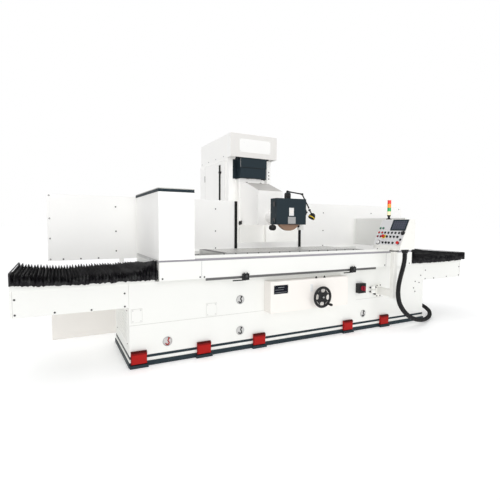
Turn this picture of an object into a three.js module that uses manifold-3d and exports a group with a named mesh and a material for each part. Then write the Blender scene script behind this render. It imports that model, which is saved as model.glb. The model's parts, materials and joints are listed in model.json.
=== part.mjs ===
// Moving-column surface grinder, in millimetres, +Z up.
// Origin: centre of the bed's footprint, on the floor. +X runs along the table, +Y towards the column.
// The operator stands at -Y.
import * as THREE from "three";
import { mergeVertices } from "three/addons/utils/BufferGeometryUtils.js";
import Module from "manifold-3d";

const wasm = await Module();
wasm.setup();

// ---------------------------------------------------------------------------------------------
// Driving dimensions
// ---------------------------------------------------------------------------------------------
const GAP = 0.3; // clearance between pieces that touch
const PLINTH = { height: 45, overhang: 13 };
const BED = { length: 4060, depth: 880, top: 800, wayTop: 840, gutterTop: 77, seamTop: 92, wall: 30, rib: 25 };
const EXTENSION = { left: 931, right: 835, bottom: 569 };
const BELLOWS_ENDS = { left: -2957, right: 2900 };
const CHANNEL = { halfWidth: 80, floor: 690 }; // the trough between the ways that holds the table cylinder
const TABLE = { left: -1765, right: 1677, front: -516, rear: 570, floor: 965, rim: 1040, underside: 900 };
const CHUCK = { left: -1045, right: 912, front: -259, rear: 379, top: 1035 };
const GUARD_LINE = { y: 592, bottom: 938, top: 1662, sheet: 6 }; // the row of splash guards behind the table
const CENTRE_X = 18; // column, wheelhead and grinding wheel share this plane
const COLUMN = { width: 712, front: 1148, rear: 2283, bottom: 720, top: 2320 };
const HOOD = { width: 768, front: 941, rear: 2162, top: 2656, sheet: 4 };
const HEAD = { width: 384, front: 460, rear: 1075, bottom: 1340, top: 1946, brow: 1804, slopeEnd: 843 };
const WHEEL = { centreZ: 1447.5, radius: 177.5, width: 50, boreRadius: 38.4, front: -5 };
const WHEEL_GUARD = { width: 442, bottom: 1348, top: 1673, rear: 94, split: -25, front: -55, wall: 5 };
const LAMP_BASE = { left: -46, right: 10, front: -7, rear: 41, height: 75 }; // on the guard, from the head's centre
const CONSOLE = { x: 1137, y: -686, bottom: 1055, swivelTop: 1054.7, front: -879, back: -455, sweepEdge: -415 };
const REAR_BED = { width: 1060, front: BED.depth / 2 + GAP, rear: 2600, top: 560, wayTop: 590 };
const SCREW = { radius: 20, y: 1160 }; // vertical screw that lifts the wheelhead
const CROSS_SCREW = { radius: 25, z: 600 };
const CONDUIT = { diameter: 58, sides: 10, steps: 44 };
const GLAND = { x: 68, y: -106 }; // where the conduit leaves the console, from its swivel axis
const COVER_CENTRES = [-1952, -1306, -665, 606, 1238]; // levelling covers along the plinth

const bedLeft = -BED.length / 2;
const bedRight = BED.length / 2;
const bedFront = -BED.depth / 2;
const bedRear = BED.depth / 2;
const plinthFront = bedFront - PLINTH.overhang;

// ---------------------------------------------------------------------------------------------
// Finishes
// ---------------------------------------------------------------------------------------------
const WHITE = { color: 0xf4f4ee, roughness: 0.45, metalness: 0.0 };
const CREAM = { color: 0xf3f1e6, roughness: 0.45, metalness: 0.0 };
const NAVY = { color: 0x2a343b, roughness: 0.5, metalness: 0.0 };
const BLACK = { color: 0x151517, roughness: 0.55, metalness: 0.0 };
const RED = { color: 0xb4201c, roughness: 0.45, metalness: 0.0 };
const STEEL = { color: 0xb4b5b5, roughness: 0.35, metalness: 1.0 };
const CHUCK_STEEL = { color: 0xa9aaa8, roughness: 0.4, metalness: 0.9 };
const RUBBER = { color: 0x1e1b20, roughness: 0.85, metalness: 0.0 };
const ABRASIVE = { color: 0x9c7a66, roughness: 0.95, metalness: 0.0 };
const GREEN = { color: 0x1f8a4a, roughness: 0.3, metalness: 0.0 };
const MOTOR_GREY = { color: 0x54595c, roughness: 0.5, metalness: 0.2 };
const LAMP_LENS = { color: 0xd97b22, roughness: 0.25, metalness: 0.0 };

// ---------------------------------------------------------------------------------------------
// Geometry helpers
// ---------------------------------------------------------------------------------------------
function block(x0, x1, y0, y1, z0, z1) {
  const box = new THREE.BoxGeometry(x1 - x0, y1 - y0, z1 - z0);
  return box.translate((x0 + x1) / 2, (y0 + y1) / 2, (z0 + z1) / 2);
}

function outline(points) {
  return new THREE.Shape(points.map(([a, b]) => new THREE.Vector2(a, b)));
}

function extruded(shape, length) {
  return new THREE.ExtrudeGeometry(shape, { depth: length, bevelEnabled: false, curveSegments: 12 });
}

// A prism along X from an outline of [y, z] points.
function prismX(points, x0, x1) {
  const turn = new THREE.Matrix4().makeBasis(
    new THREE.Vector3(0, 1, 0),
    new THREE.Vector3(0, 0, 1),
    new THREE.Vector3(1, 0, 0),
  );
  return extruded(outline(points), x1 - x0).applyMatrix4(turn).translate(x0, 0, 0);
}

// A prism along Y from an outline of [x, z] points.
function prismY(points, y0, y1) {
  return extruded(outline(points), y1 - y0).rotateX(Math.PI / 2).translate(0, y1, 0);
}

// A prism along Z from an outline of [x, y] points.
function prismZ(points, z0, z1) {
  return extruded(outline(points), z1 - z0).translate(0, 0, z0);
}

// A solid of revolution about an axis through the local origin; profile points are [radius, along].
function turned(axis, profile, segments = 32) {
  const lathe = new THREE.LatheGeometry(profile.map(([r, a]) => new THREE.Vector2(r, a)), segments);
  if (axis === "x") lathe.rotateZ(-Math.PI / 2);
  if (axis === "z") lathe.rotateX(Math.PI / 2);
  return lathe;
}

function rod(axis, radius, from, to, segments = 32) {
  return turned(axis, [[0, from], [radius, from], [radius, to], [0, to]], segments);
}

function tube(axis, inner, outer, from, to, segments = 32) {
  return turned(axis, [[inner, from], [outer, from], [outer, to], [inner, to], [inner, from]], segments);
}

function toSolid(geometry) {
  const bare = geometry.clone();
  bare.deleteAttribute("normal");
  bare.deleteAttribute("uv");
  const merged = mergeVertices(bare, 1e-3);
  const mesh = new wasm.Mesh({
    numProp: 3,
    vertProperties: new Float32Array(merged.attributes.position.array),
    triVerts: new Uint32Array(merged.index.array),
  });
  return new wasm.Manifold(mesh);
}

function toGeometry(solid) {
  const mesh = solid.getMesh();
  const geometry = new THREE.BufferGeometry();
  geometry.setAttribute("position", new THREE.BufferAttribute(new Float32Array(mesh.vertProperties), 3));
  geometry.setIndex(new THREE.BufferAttribute(new Uint32Array(mesh.triVerts), 1));
  return geometry;
}

function join(...geometries) {
  return toGeometry(geometries.map(toSolid).reduce((whole, piece) => whole.add(piece)));
}

function cut(geometry, ...tools) {
  return toGeometry(tools.map(toSolid).reduce((whole, tool) => whole.subtract(tool), toSolid(geometry)));
}

// A grid of rectangular pockets that leaves an outer wall and ribs between them.
function pockets(x0, x1, y0, y1, z0, z1, columns, rows) {
  const wide = (x1 - x0 - 2 * BED.wall - (columns - 1) * BED.rib) / columns;
  const deep = (y1 - y0 - 2 * BED.wall - (rows - 1) * BED.rib) / rows;
  const cells = [];
  for (let i = 0; i < columns; i++) {
    for (let j = 0; j < rows; j++) {
      const x = x0 + BED.wall + i * (wide + BED.rib);
      const y = y0 + BED.wall + j * (deep + BED.rib);
      cells.push(block(x, x + wide, y, y + deep, z0, z1));
    }
  }
  return cells;
}

// ---------------------------------------------------------------------------------------------
// Scene graph
// ---------------------------------------------------------------------------------------------
const grinder = new THREE.Group();

function add(name, geometry, finish, parent = grinder) {
  const mesh = new THREE.Mesh(geometry, new THREE.MeshStandardMaterial(finish));
  mesh.name = name;
  parent.add(mesh);
  return mesh;
}

function groupAt(x, y, z) {
  const group = new THREE.Group();
  group.position.set(x, y, z);
  grinder.add(group);
  return group;
}

// ---------------------------------------------------------------------------------------------
// Bed, extensions and rear bed
// ---------------------------------------------------------------------------------------------
// Cross-section of the bed: a flat way at the front, a vee way at the rear and a channel between them.
function bedSection(bottom) {
  const way = { inner: 210, outer: 330 };
  const vee = { centre: 270, halfWidth: 35, depth: 30 };
  return [
    [bedFront, bottom],
    [bedFront, BED.top],
    [-way.outer, BED.top],
    [-way.outer, BED.wayTop],
    [-way.inner, BED.wayTop],
    [-way.inner, BED.top],
    [-CHANNEL.halfWidth, BED.top],
    [-CHANNEL.halfWidth, CHANNEL.floor],
    [CHANNEL.halfWidth, CHANNEL.floor],
    [CHANNEL.halfWidth, BED.top],
    [way.inner, BED.top],
    [way.inner, BED.wayTop],
    [vee.centre - vee.halfWidth, BED.wayTop],
    [vee.centre, BED.wayTop - vee.depth],
    [vee.centre + vee.halfWidth, BED.wayTop],
    [way.outer, BED.wayTop],
    [way.outer, BED.top],
    [bedRear, BED.top],
    [bedRear, bottom],
  ];
}

function bedCasting() {
  const seamInset = 12;
  const gutterOut = 6;
  const foot = PLINTH.height + GAP;
  const body = prismX(bedSection(BED.seamTop), bedLeft, bedRight);
  const seam = block(
    bedLeft + seamInset, bedRight - seamInset, bedFront + seamInset, bedRear - seamInset, 70, BED.seamTop + 8,
  );
  const gutter = block(
    bedLeft - gutterOut, bedRight + gutterOut, bedFront - gutterOut, bedRear, foot, BED.gutterTop,
  );
  return cut(join(body, seam, gutter), ...pockets(bedLeft, bedRight, bedFront, bedRear, 0, 640, 8, 2));
}

function bedPlinth() {
  const over = PLINTH.overhang;
  const slab = block(bedLeft - over, bedRight + over, plinthFront, bedRear, 0, PLINTH.height);
  const pads = COVER_CENTRES.map((x) => block(x - 86, x + 86, plinthFront - 38, plinthFront + 5, 0, 30));
  return join(slab, ...pads);
}

function bedExtension(x0, x1) {
  const body = prismX(bedSection(EXTENSION.bottom), x0, x1);
  return cut(body, ...pockets(x0, x1, bedFront, bedRear, 0, 660, 1, 1));
}

// A red cap over each levelling screw along the front of the plinth.
function levellingCover(x) {
  const half = 72.5;
  const back = plinthFront - GAP;
  const front = back - 27;
  const chamfer = 12;
  return prismX(
    [[back, 36], [front, 36], [front, 156 - chamfer], [front + chamfer, 156], [back, 156]],
    x - half,
    x + half,
  );
}

function rearBed() {
  const half = REAR_BED.width / 2;
  const x0 = CENTRE_X - half;
  const x1 = CENTRE_X + half;
  const ways = [-360, 360].map((x) =>
    block(CENTRE_X + x - 60, CENTRE_X + x + 60, REAR_BED.front, REAR_BED.rear, REAR_BED.top - 5, REAR_BED.wayTop),
  );
  const bearings = [[480, 530], [REAR_BED.rear - 60, REAR_BED.rear]].map(([y0, y1]) =>
    block(CENTRE_X - 70, CENTRE_X + 70, y0, y1, REAR_BED.top - 5, CROSS_SCREW.z + 38),
  );
  const bore = rod("y", CROSS_SCREW.radius + 1, 470, REAR_BED.rear + 1).translate(CENTRE_X, 0, CROSS_SCREW.z);
  const body = block(x0, x1, REAR_BED.front, REAR_BED.rear, 0, REAR_BED.top);
  const hollow = pockets(x0, x1, REAR_BED.front, REAR_BED.rear, -1, 500, 1, 3);
  return cut(join(body, ...ways, ...bearings), bore, ...hollow);
}

function crossScrew() {
  return rod("y", CROSS_SCREW.radius, 482, REAR_BED.rear - GAP, 24).translate(CENTRE_X, 0, CROSS_SCREW.z);
}

function crossFeedMotor() {
  const start = REAR_BED.rear + GAP;
  const body = rod("y", 75, start, start + 190).translate(CENTRE_X, 0, CROSS_SCREW.z);
  const box = block(CENTRE_X - 45, CENTRE_X + 45, start + 20, start + 130, CROSS_SCREW.z + 50, CROSS_SCREW.z + 115);
  return join(body, box);
}

// ---------------------------------------------------------------------------------------------
// Table, chuck and what travels with them
// ---------------------------------------------------------------------------------------------
function tableCasting() {
  const skin = TABLE.front + 12.5; // the casting stands behind the apron
  const lip = 20;
  const section = [
    [skin, TABLE.underside],
    [skin, 1011],
    [TABLE.front, 1011],
    [TABLE.front, TABLE.rim],
    [TABLE.front + lip, TABLE.rim],
    [TABLE.front + lip, TABLE.floor],
    [TABLE.rear - lip, TABLE.floor],
    [TABLE.rear - lip, 1005],
    [TABLE.rear, 1005],
    [TABLE.rear, TABLE.underside],
    [330, TABLE.underside],
    [330, BED.wayTop + GAP],
    [304, BED.wayTop + GAP],
    [270, BED.wayTop - 28],
    [236, BED.wayTop + GAP],
    [210, BED.wayTop + GAP],
    [210, TABLE.underside],
    [-210, TABLE.underside],
    [-210, BED.wayTop + GAP],
    [-330, BED.wayTop + GAP],
    [-330, TABLE.underside],
  ];
  const bracket = block(TABLE.left + 25, TABLE.left + 65, -50, 50, CHANNEL.floor + 20, TABLE.underside + 10);
  return join(prismX(section, TABLE.left, TABLE.right), bracket);
}

// Front sheet of the table, with the rail that holds the trip dogs along its lower edge.
function tableApron() {
  const bottom = 809;
  const rail = { x0: -1300, x1: 1012, z0: 786, z1: 812 };
  const sheet = block(TABLE.left, TABLE.right, TABLE.front, TABLE.front + 12, bottom, 986);
  const bar = block(rail.x0, rail.x1, TABLE.front + 1, TABLE.front + 13, rail.z0, rail.z1);
  return join(sheet, bar);
}

function tripDog(x) {
  const front = TABLE.front - GAP;
  const body = block(x - 36, x + 36, front - 32, front, 768, 836);
  const hook = block(x - 30, x + 30, front - 32, TABLE.front + 14, 768, 785.5);
  const lever = block(x - 150, x, front - 26, front - 18, 764, 776);
  return join(body, hook, lever);
}

function magneticChuck() {
  const step = 8;
  const bottom = TABLE.floor + GAP;
  return prismX(
    [
      [CHUCK.front - step, bottom],
      [CHUCK.front - step, bottom + 22],
      [CHUCK.front, bottom + 22],
      [CHUCK.front, CHUCK.top],
      [CHUCK.rear, CHUCK.top],
      [CHUCK.rear, bottom + 22],
      [CHUCK.rear + step, bottom + 22],
      [CHUCK.rear + step, bottom],
    ],
    CHUCK.left,
    CHUCK.right,
  );
}

// End guards are bent from sheet, U-shaped seen from above and open towards the wheel.
function endGuardLeft() {
  const x0 = TABLE.left;
  const x1 = x0 + 347;
  const y0 = TABLE.front;
  const y1 = TABLE.rear - 11;
  const wall = 6;
  const sheet = prismZ(
    [
      [x0, y0],
      [x1, y0],
      [x1, y0 + wall],
      [x0 + wall, y0 + wall],
      [x0 + wall, y1 - wall],
      [x1, y1 - wall],
      [x1, y1],
      [x0, y1],
    ],
    TABLE.rim + GAP,
    1682,
  );
  return sheet;
}

function endGuardRight() {
  const x1 = TABLE.right;
  const x0 = x1 - 36;
  const y0 = CONSOLE.sweepEdge;
  const y1 = TABLE.rear - 1;
  const wall = 6;
  return prismZ(
    [
      [x1, y0],
      [x1, y1],
      [x0, y1],
      [x0, y1 - wall],
      [x1 - wall, y1 - wall],
      [x1 - wall, y0 + wall],
      [x0, y0 + wall],
      [x0, y0],
    ],
    TABLE.rim + GAP,
    1451,
  );
}

const CYLINDER = { left: -650, right: 1550, z: 760, outer: 55, inner: 45, headThickness: 30, rod: 20 };

function tableCylinder() {
  const { left, right, outer, inner, headThickness, z } = CYLINDER;
  const barrel = turned("x", [
    [0, right - headThickness],
    [inner, right - headThickness],
    [inner, left + headThickness],
    [CYLINDER.rod + 0.8, left + headThickness],
    [CYLINDER.rod + 0.8, left],
    [outer, left],
    [outer, right],
    [0, right],
  ]).translate(0, 0, z);
  const feet = [left + 10, right - 50].map((x) =>
    cut(
      block(x, x + 40, -60, 60, CHANNEL.floor + GAP, z - 20),
      rod("x", outer - 4, x - 1, x + 41).translate(0, 0, z),
    ),
  );
  return join(barrel, ...feet);
}

function pistonRod() {
  const piston = { at: 440, thickness: 40 };
  const start = TABLE.left + 65 + GAP;
  return turned("x", [
    [0, start],
    [CYLINDER.rod, start],
    [CYLINDER.rod, piston.at],
    [CYLINDER.inner - 0.6, piston.at],
    [CYLINDER.inner - 0.6, piston.at + piston.thickness],
    [0, piston.at + piston.thickness],
  ]).translate(0, 0, CYLINDER.z);
}

// Bellows over the ways: a plain cover of the true outer size, open below.
function bellows(x0, x1) {
  const skin = 10;
  const front = -482;
  const rear = 479;
  const bottom = 818;
  const top = 930;
  return prismX(
    [
      [front, bottom],
      [front, top],
      [rear, top],
      [rear, bottom],
      [rear - skin, bottom],
      [rear - skin, top - skin],
      [front + skin, top - skin],
      [front + skin, bottom],
    ],
    x0,
    x1,
  );
}

// ---------------------------------------------------------------------------------------------
// Fixed splash guards behind the table
// ---------------------------------------------------------------------------------------------
// A flat sheet with a folded top edge, carried on posts whose feet reach the rear of the bed.
function rearGuard(x0, x1, postXs, top) {
  const { y, bottom, sheet } = GUARD_LINE;
  const face = block(x0, x1, y, y + sheet, bottom, top);
  const fold = block(x0, x1, y + 2, y + 30, top - 5, top);
  const posts = postXs.map((x) => block(x - 25, x + 25, y + 3, y + 45, 700, top - 2));
  const feet = postXs.map((x) => block(x - 25, x + 25, bedRear + GAP, y + 45, 700, 750));
  return join(face, fold, ...posts, ...feet);
}

// ---------------------------------------------------------------------------------------------
// Saddle and column
// ---------------------------------------------------------------------------------------------
function saddle() {
  const y0 = 1120;
  const y1 = 2320;
  const bottom = REAR_BED.wayTop + GAP;
  const recess = 640;
  const body = prismY(
    [
      [-470, bottom],
      [-470, COLUMN.bottom],
      [470, COLUMN.bottom],
      [470, bottom],
      [250, bottom],
      [250, recess],
      [-250, recess],
      [-250, bottom],
    ],
    y0,
    y1,
  );
  const nut = cut(
    block(-60, 60, 1660, 1760, REAR_BED.top + 6, recess + 5),
    rod("y", CROSS_SCREW.radius + 0.8, 1650, 1770).translate(0, 0, CROSS_SCREW.z),
  );
  return join(body, nut).translate(CENTRE_X, 0, 0);
}

function columnCasting() {
  const half = COLUMN.width / 2;
  const way = { inner: 130, outer: 200, front: 1090 };
  const notch = { half: 70, depth: 82 };
  const section = [
    [-half, COLUMN.front],
    [-way.outer, COLUMN.front],
    [-way.outer, way.front],
    [-way.inner, way.front],
    [-way.inner, COLUMN.front],
    [-notch.half, COLUMN.front],
    [-notch.half, COLUMN.front + notch.depth],
    [notch.half, COLUMN.front + notch.depth],
    [notch.half, COLUMN.front],
    [way.inner, COLUMN.front],
    [way.inner, way.front],
    [way.outer, way.front],
    [way.outer, COLUMN.front],
    [half, COLUMN.front],
    [half, COLUMN.rear],
    [-half, COLUMN.rear],
  ];
  const bottom = COLUMN.bottom + GAP;
  const skirt = { left: -760, right: 1075, thickness: 20, bottom: 800, top: 1480 }; // hides the cross ways
  const body = join(
    prismZ(section, bottom, COLUMN.top),
    block(skirt.left, -half + 20, COLUMN.front, COLUMN.front + skirt.thickness, skirt.bottom, skirt.top),
    block(half - 20, skirt.right, COLUMN.front, COLUMN.front + skirt.thickness, skirt.bottom, skirt.top),
  );
  const hollow = pockets(-half, half, COLUMN.front + notch.depth, COLUMN.rear, bottom - 1, 2280, 2, 2);
  return cut(body, ...hollow).translate(CENTRE_X, 0, 0);
}

// Service door on the column's left side, hinged at its rear edge.
function columnDoor() {
  const x1 = CENTRE_X - COLUMN.width / 2 - GAP;
  return block(x1 - 12, x1, 1180, 2010, 800, 2300);
}

function hood() {
  const half = HOOD.width / 2;
  const t = HOOD.sheet;
  const bottom = COLUMN.top + GAP;
  const shell = cut(
    block(-half, half, HOOD.front, HOOD.rear, bottom, HOOD.top),
    block(-half + t, half - t, HOOD.front + t, HOOD.rear - t, bottom - 1, HOOD.top - t),
  );
  return shell.translate(CENTRE_X, 0, 0);
}

function elevatingMotor() {
  const base = COLUMN.top + GAP;
  const body = rod("z", 95, base, base + 230).translate(CENTRE_X, SCREW.y, 0);
  const gearbox = block(CENTRE_X - 110, CENTRE_X + 110, SCREW.y - 90, SCREW.y + 170, base, base + 60);
  return join(body, gearbox);
}

function elevatingScrew() {
  return rod("z", SCREW.radius, 1150, COLUMN.top - GAP, 24).translate(CENTRE_X, SCREW.y, 0);
}

// One length of the telescopic way cover: a front sheet with two sides, open at the rear.
function wayCover(half, front, z0, z1) {
  const t = 3;
  const rear = COLUMN.front - GAP;
  const section = [
    [-half, front],
    [half, front],
    [half, rear],
    [half - t, rear],
    [half - t, front + t],
    [-half + t, front + t],
    [-half + t, rear],
    [-half, rear],
  ];
  return prismZ(section, z0, z1).translate(CENTRE_X, 0, 0);
}

// ---------------------------------------------------------------------------------------------
// Wheelhead, spindle, grinding wheel and its guard
// ---------------------------------------------------------------------------------------------
const CARTRIDGE = { radius: 85, front: 62, rear: 900 };
const MOTOR = { radius: 93, rear: 1000 };
const SHAFT = { radius: 40, clearance: 0.6 };
const CARRIAGE = { half: 205, front: 1030, rear: 1089.7, bottom: 1300, top: 2021 }; // slides on the column's ways

function headHousing() {
  const half = HEAD.width / 2;
  const body = prismX(
    [
      [HEAD.front, HEAD.bottom],
      [HEAD.front, HEAD.brow],
      [HEAD.slopeEnd, HEAD.top],
      [HEAD.rear, HEAD.top],
      [HEAD.rear, HEAD.bottom],
    ],
    -half,
    half,
  );
  const carriage = block(
    -CARRIAGE.half, CARRIAGE.half, CARRIAGE.front, CARRIAGE.rear, CARRIAGE.bottom, CARRIAGE.top,
  );
  const nut = cut(
    block(-55, 55, 1080, 1195, 1600, 1700),
    rod("z", SCREW.radius + 0.8, 1590, 1710).translate(0, SCREW.y, 0),
  );
  const bore = turned("y", [
    [0, HEAD.front - 1],
    [CARTRIDGE.radius + GAP, HEAD.front - 1],
    [CARTRIDGE.radius + GAP, CARTRIDGE.rear],
    [MOTOR.radius + GAP, CARTRIDGE.rear],
    [MOTOR.radius + GAP, MOTOR.rear + GAP],
    [0, MOTOR.rear + GAP],
  ]).translate(0, 0, WHEEL.centreZ);
  return cut(join(body, carriage, nut), bore).translate(CENTRE_X, 0, 0);
}

function spindleCartridge() {
  return tube("y", SHAFT.radius + SHAFT.clearance, CARTRIDGE.radius, CARTRIDGE.front, CARTRIDGE.rear - GAP);
}

function spindleMotor() {
  return tube("y", SHAFT.radius + SHAFT.clearance, MOTOR.radius, CARTRIDGE.rear + GAP, MOTOR.rear);
}

// Shaft with the fixed wheel flange and the nose that passes through the wheel.
function spindleShaft() {
  const wheelRear = WHEEL.front + WHEEL.width;
  return turned("y", [
    [0, WHEEL.front - 25],
    [25, WHEEL.front - 25],
    [25, WHEEL.front - GAP],
    [WHEEL.boreRadius - 0.4, WHEEL.front],
    [WHEEL.boreRadius - 0.4, wheelRear + GAP],
    [70, wheelRear + GAP],
    [70, wheelRear + 13],
    [SHAFT.radius, wheelRear + 13],
    [SHAFT.radius, MOTOR.rear - 10],
    [0, MOTOR.rear - 10],
  ]);
}

function grindingWheel() {
  return tube("y", WHEEL.boreRadius, WHEEL.radius, WHEEL.front, WHEEL.front + WHEEL.width, 64);
}

// Rear half of the guard: back, top and sides, open below and at the front.
function wheelGuardBody() {
  const half = WHEEL_GUARD.width / 2;
  const { bottom, top, rear, split, wall } = WHEEL_GUARD;
  const shell = cut(
    block(-half, half, split + GAP, rear, bottom, top),
    block(-half + wall, half - wall, split - 1, rear - wall, bottom - 1, top - wall),
    rod("y", CARTRIDGE.radius + GAP, rear - 20, rear + 1).translate(0, 0, WHEEL.centreZ),
  );
  const base = LAMP_BASE;
  const lampBase = block(base.left, base.right, base.front, base.rear, top - 2, top + base.height);
  const lug = block(-half - 24, -half + 2, -15, 55, bottom, bottom + 42);
  return join(shell, lampBase, lug).translate(CENTRE_X, 0, 0);
}

// Front half of the guard, hinged along its left edge.
function wheelGuardDoor() {
  const half = WHEEL_GUARD.width / 2;
  const { bottom, top, split, front, wall } = WHEEL_GUARD;
  const shell = cut(
    block(-half, half, front, split, bottom, top),
    block(-half + wall, half - wall, front + wall, split + 1, bottom - 1, top - wall),
  );
  return shell.translate(CENTRE_X, 0, 0);
}

function coolantKnob() {
  return turned("z", [[0, -76], [26, -73], [39, -57], [42, -40], [39, -22], [26, -6], [14, 0], [0, 0]], 20);
}

// ---------------------------------------------------------------------------------------------
// Work lamp on the wheel guard
// ---------------------------------------------------------------------------------------------
const LAMP = { x: -2, y: 17, postTop: 1772, elbowX: 224, elbowZ: 1740, endX: 338, endZ: 1560, rodRadius: 7 };

function straightRod(from, to, radius) {
  const along = new THREE.Vector3().subVectors(to, from);
  const geometry = rod("y", radius, 0, along.length(), 12);
  const turn = new THREE.Quaternion().setFromUnitVectors(new THREE.Vector3(0, 1, 0), along.normalize());
  return geometry.applyQuaternion(turn).translate(from.x, from.y, from.z);
}

function lampArm() {
  const bend = new THREE.Vector3(LAMP.x, LAMP.y, LAMP.postTop - 8);
  const elbow = new THREE.Vector3(LAMP.elbowX, LAMP.y, LAMP.elbowZ);
  const end = new THREE.Vector3(LAMP.endX, LAMP.y, LAMP.endZ);
  const post = rod("z", 14, WHEEL_GUARD.top + LAMP_BASE.height + GAP, LAMP.postTop, 16).translate(LAMP.x, LAMP.y, 0);
  const knuckle = rod("y", 13, -12, 12, 16).translate(LAMP.elbowX, LAMP.y, LAMP.elbowZ);
  return join(post, straightRod(bend, elbow, LAMP.rodRadius), knuckle, straightRod(elbow, end, LAMP.rodRadius));
}

function lampHead() {
  const socket = rod("y", 13, -14, 14, 16);
  const shade = turned("y", [[0, -30], [22, -30], [46, 18], [46, 34], [0, 34]], 20);
  shade.rotateZ(Math.PI + 0.6).translate(50, 0, -72);
  const neck = straightRod(new THREE.Vector3(0, 0, 0), new THREE.Vector3(38, 0, -52), 9);
  return join(socket, neck, shade);
}

// ---------------------------------------------------------------------------------------------
// Fittings on the front of the bed
// ---------------------------------------------------------------------------------------------
const FEED_BOX = { left: -590, right: 493, front: -580, bottom: 390, top: 734 };
const HANDWHEEL = { x: 62, y: -640, z: 526, radius: 125 };
const GRIP = { x: 71, z: -82, length: 82 }; // crank grip, from the handwheel's centre

function feedBox() {
  const { left, right, front, bottom, top } = FEED_BOX;
  const back = bedFront - GAP;
  const shell = block(left, right, front, back, bottom, top);
  const cells = [0, 1, 2].map((i) => {
    const x = left + 20 + i * 353;
    return block(x, x + 337, front + 12, back + 1, bottom + 12, top - 12);
  });
  const boss = rod("y", 42, front - 20, front + 4).translate(HANDWHEEL.x, 0, HANDWHEEL.z);
  return cut(join(shell, boss), ...cells);
}

function handwheel() {
  const { radius } = HANDWHEEL;
  const rim = new THREE.TorusGeometry(radius - 11, 11, 10, 36).rotateX(Math.PI / 2);
  const hub = rod("y", 30, -12, HANDWHEEL.y * -1 + FEED_BOX.front - 20 - GAP, 24);
  const spokes = [0, 1, 2].map((i) => {
    const spoke = block(15, radius - 8, -5, 7, -11, 11);
    return spoke.rotateY((i * 2 * Math.PI) / 3 + 0.5);
  });
  const boss = rod("y", 14, -14, 8, 16).translate(GRIP.x, 0, GRIP.z);
  return join(rim, hub, ...spokes, boss);
}

function handwheelGrip() {
  return turned("y", [[0, -GRIP.length], [12, -GRIP.length], [16, -60], [11, -14], [0, -14]].map(
    ([r, a]) => [r, a - GAP]), 16);
}

function switchBase() {
  return block(747, 867, bedFront - 62, bedFront - GAP, 487, 612);
}

function switchHandle() {
  const plate = rod("y", 31, -16, 0, 24);
  const grip = block(-9, 9, -44, -10, -29, 29);
  return join(plate, grip);
}

// ---------------------------------------------------------------------------------------------
// Control console, its arm and the conduit
// ---------------------------------------------------------------------------------------------
function consoleArm() {
  const half = 28;
  const beam = block(CONSOLE.x - half, CONSOLE.x + half, CONSOLE.y, bedFront - GAP, 445, 535);
  const post = block(CONSOLE.x - half, CONSOLE.x + half, CONSOLE.y - half, CONSOLE.y + half, 430, 1020);
  const flange = rod("z", 50, 1015, CONSOLE.swivelTop - 15, 24).translate(CONSOLE.x, CONSOLE.y, 0);
  return join(beam, post, flange);
}

// The housing leans back from its lower lip; its own origin is on the swivel axis.
const PANEL = { bottomX: -117, topX: 33, backX: 133, lip: 1098, top: 1420 };

function consoleHousing() {
  const y0 = CONSOLE.front - CONSOLE.y;
  const y1 = CONSOLE.back - CONSOLE.y;
  const t = 3;
  const outer = prismY(
    [
      [PANEL.bottomX, CONSOLE.bottom],
      [PANEL.bottomX, PANEL.lip],
      [PANEL.topX, PANEL.top],
      [PANEL.backX, PANEL.top],
      [PANEL.backX, CONSOLE.bottom],
    ],
    y0,
    y1,
  );
  const inner = prismY(
    [
      [PANEL.bottomX + t, CONSOLE.bottom + t],
      [PANEL.bottomX + t, PANEL.lip],
      [PANEL.topX + t, PANEL.top - t],
      [PANEL.backX - t, PANEL.top - t],
      [PANEL.backX - t, CONSOLE.bottom + t],
    ],
    y0 + t,
    y1 - t,
  );
  const collar = rod("z", 50, CONSOLE.swivelTop - 14.7, CONSOLE.bottom + 1, 24);
  const cableHole = rod("z", 20, CONSOLE.bottom - 1, CONSOLE.bottom + 10, 20);
  return join(cut(outer, inner, cableHole.translate(GLAND.x, GLAND.y, 0)), collar);
}

function consoleGland() {
  const nut = rod("z", 42, -30, -GAP, 12);
  const throat = rod("z", 36, -55, -29, 20);
  return join(nut, throat);
}

const BED_GLAND = { y: 156, z: 230, length: 40 };

function bedGland() {
  const nut = rod("x", 44, GAP, 22, 12);
  const throat = rod("x", 36, 21, BED_GLAND.length, 20);
  return join(nut, throat);
}

// Places a piece on the leaning panel: s along the panel from its far end, t down from its top edge.
function onPanel(s, t) {
  const y0 = CONSOLE.front - CONSOLE.y;
  const y1 = CONSOLE.back - CONSOLE.y;
  const top = new THREE.Vector3(PANEL.topX, 0, PANEL.top);
  const bottom = new THREE.Vector3(PANEL.bottomX, 0, PANEL.lip);
  const at = top.lerp(bottom, t);
  at.y = y1 + (y0 - y1) * s;
  return at;
}

function addControl(name, geometry, finish, s, t, standOff, parent) {
  const lean = Math.atan2(PANEL.topX - PANEL.bottomX, PANEL.top - PANEL.lip);
  const mesh = add(name, geometry, finish, parent);
  const out = new THREE.Vector3(-Math.cos(lean), 0, Math.sin(lean));
  mesh.position.copy(onPanel(s, t)).addScaledVector(out, standOff);
  mesh.quaternion.setFromUnitVectors(new THREE.Vector3(0, 0, 1), out);
}

function stackLight() {
  return turned("z", [
    [0, 0],
    [34, 0],
    [34, 8],
    [20, 14],
    [20, 40],
    [24, 46],
    [24, 245],
    [18, 250],
    [0, 250],
  ], 24);
}

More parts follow.
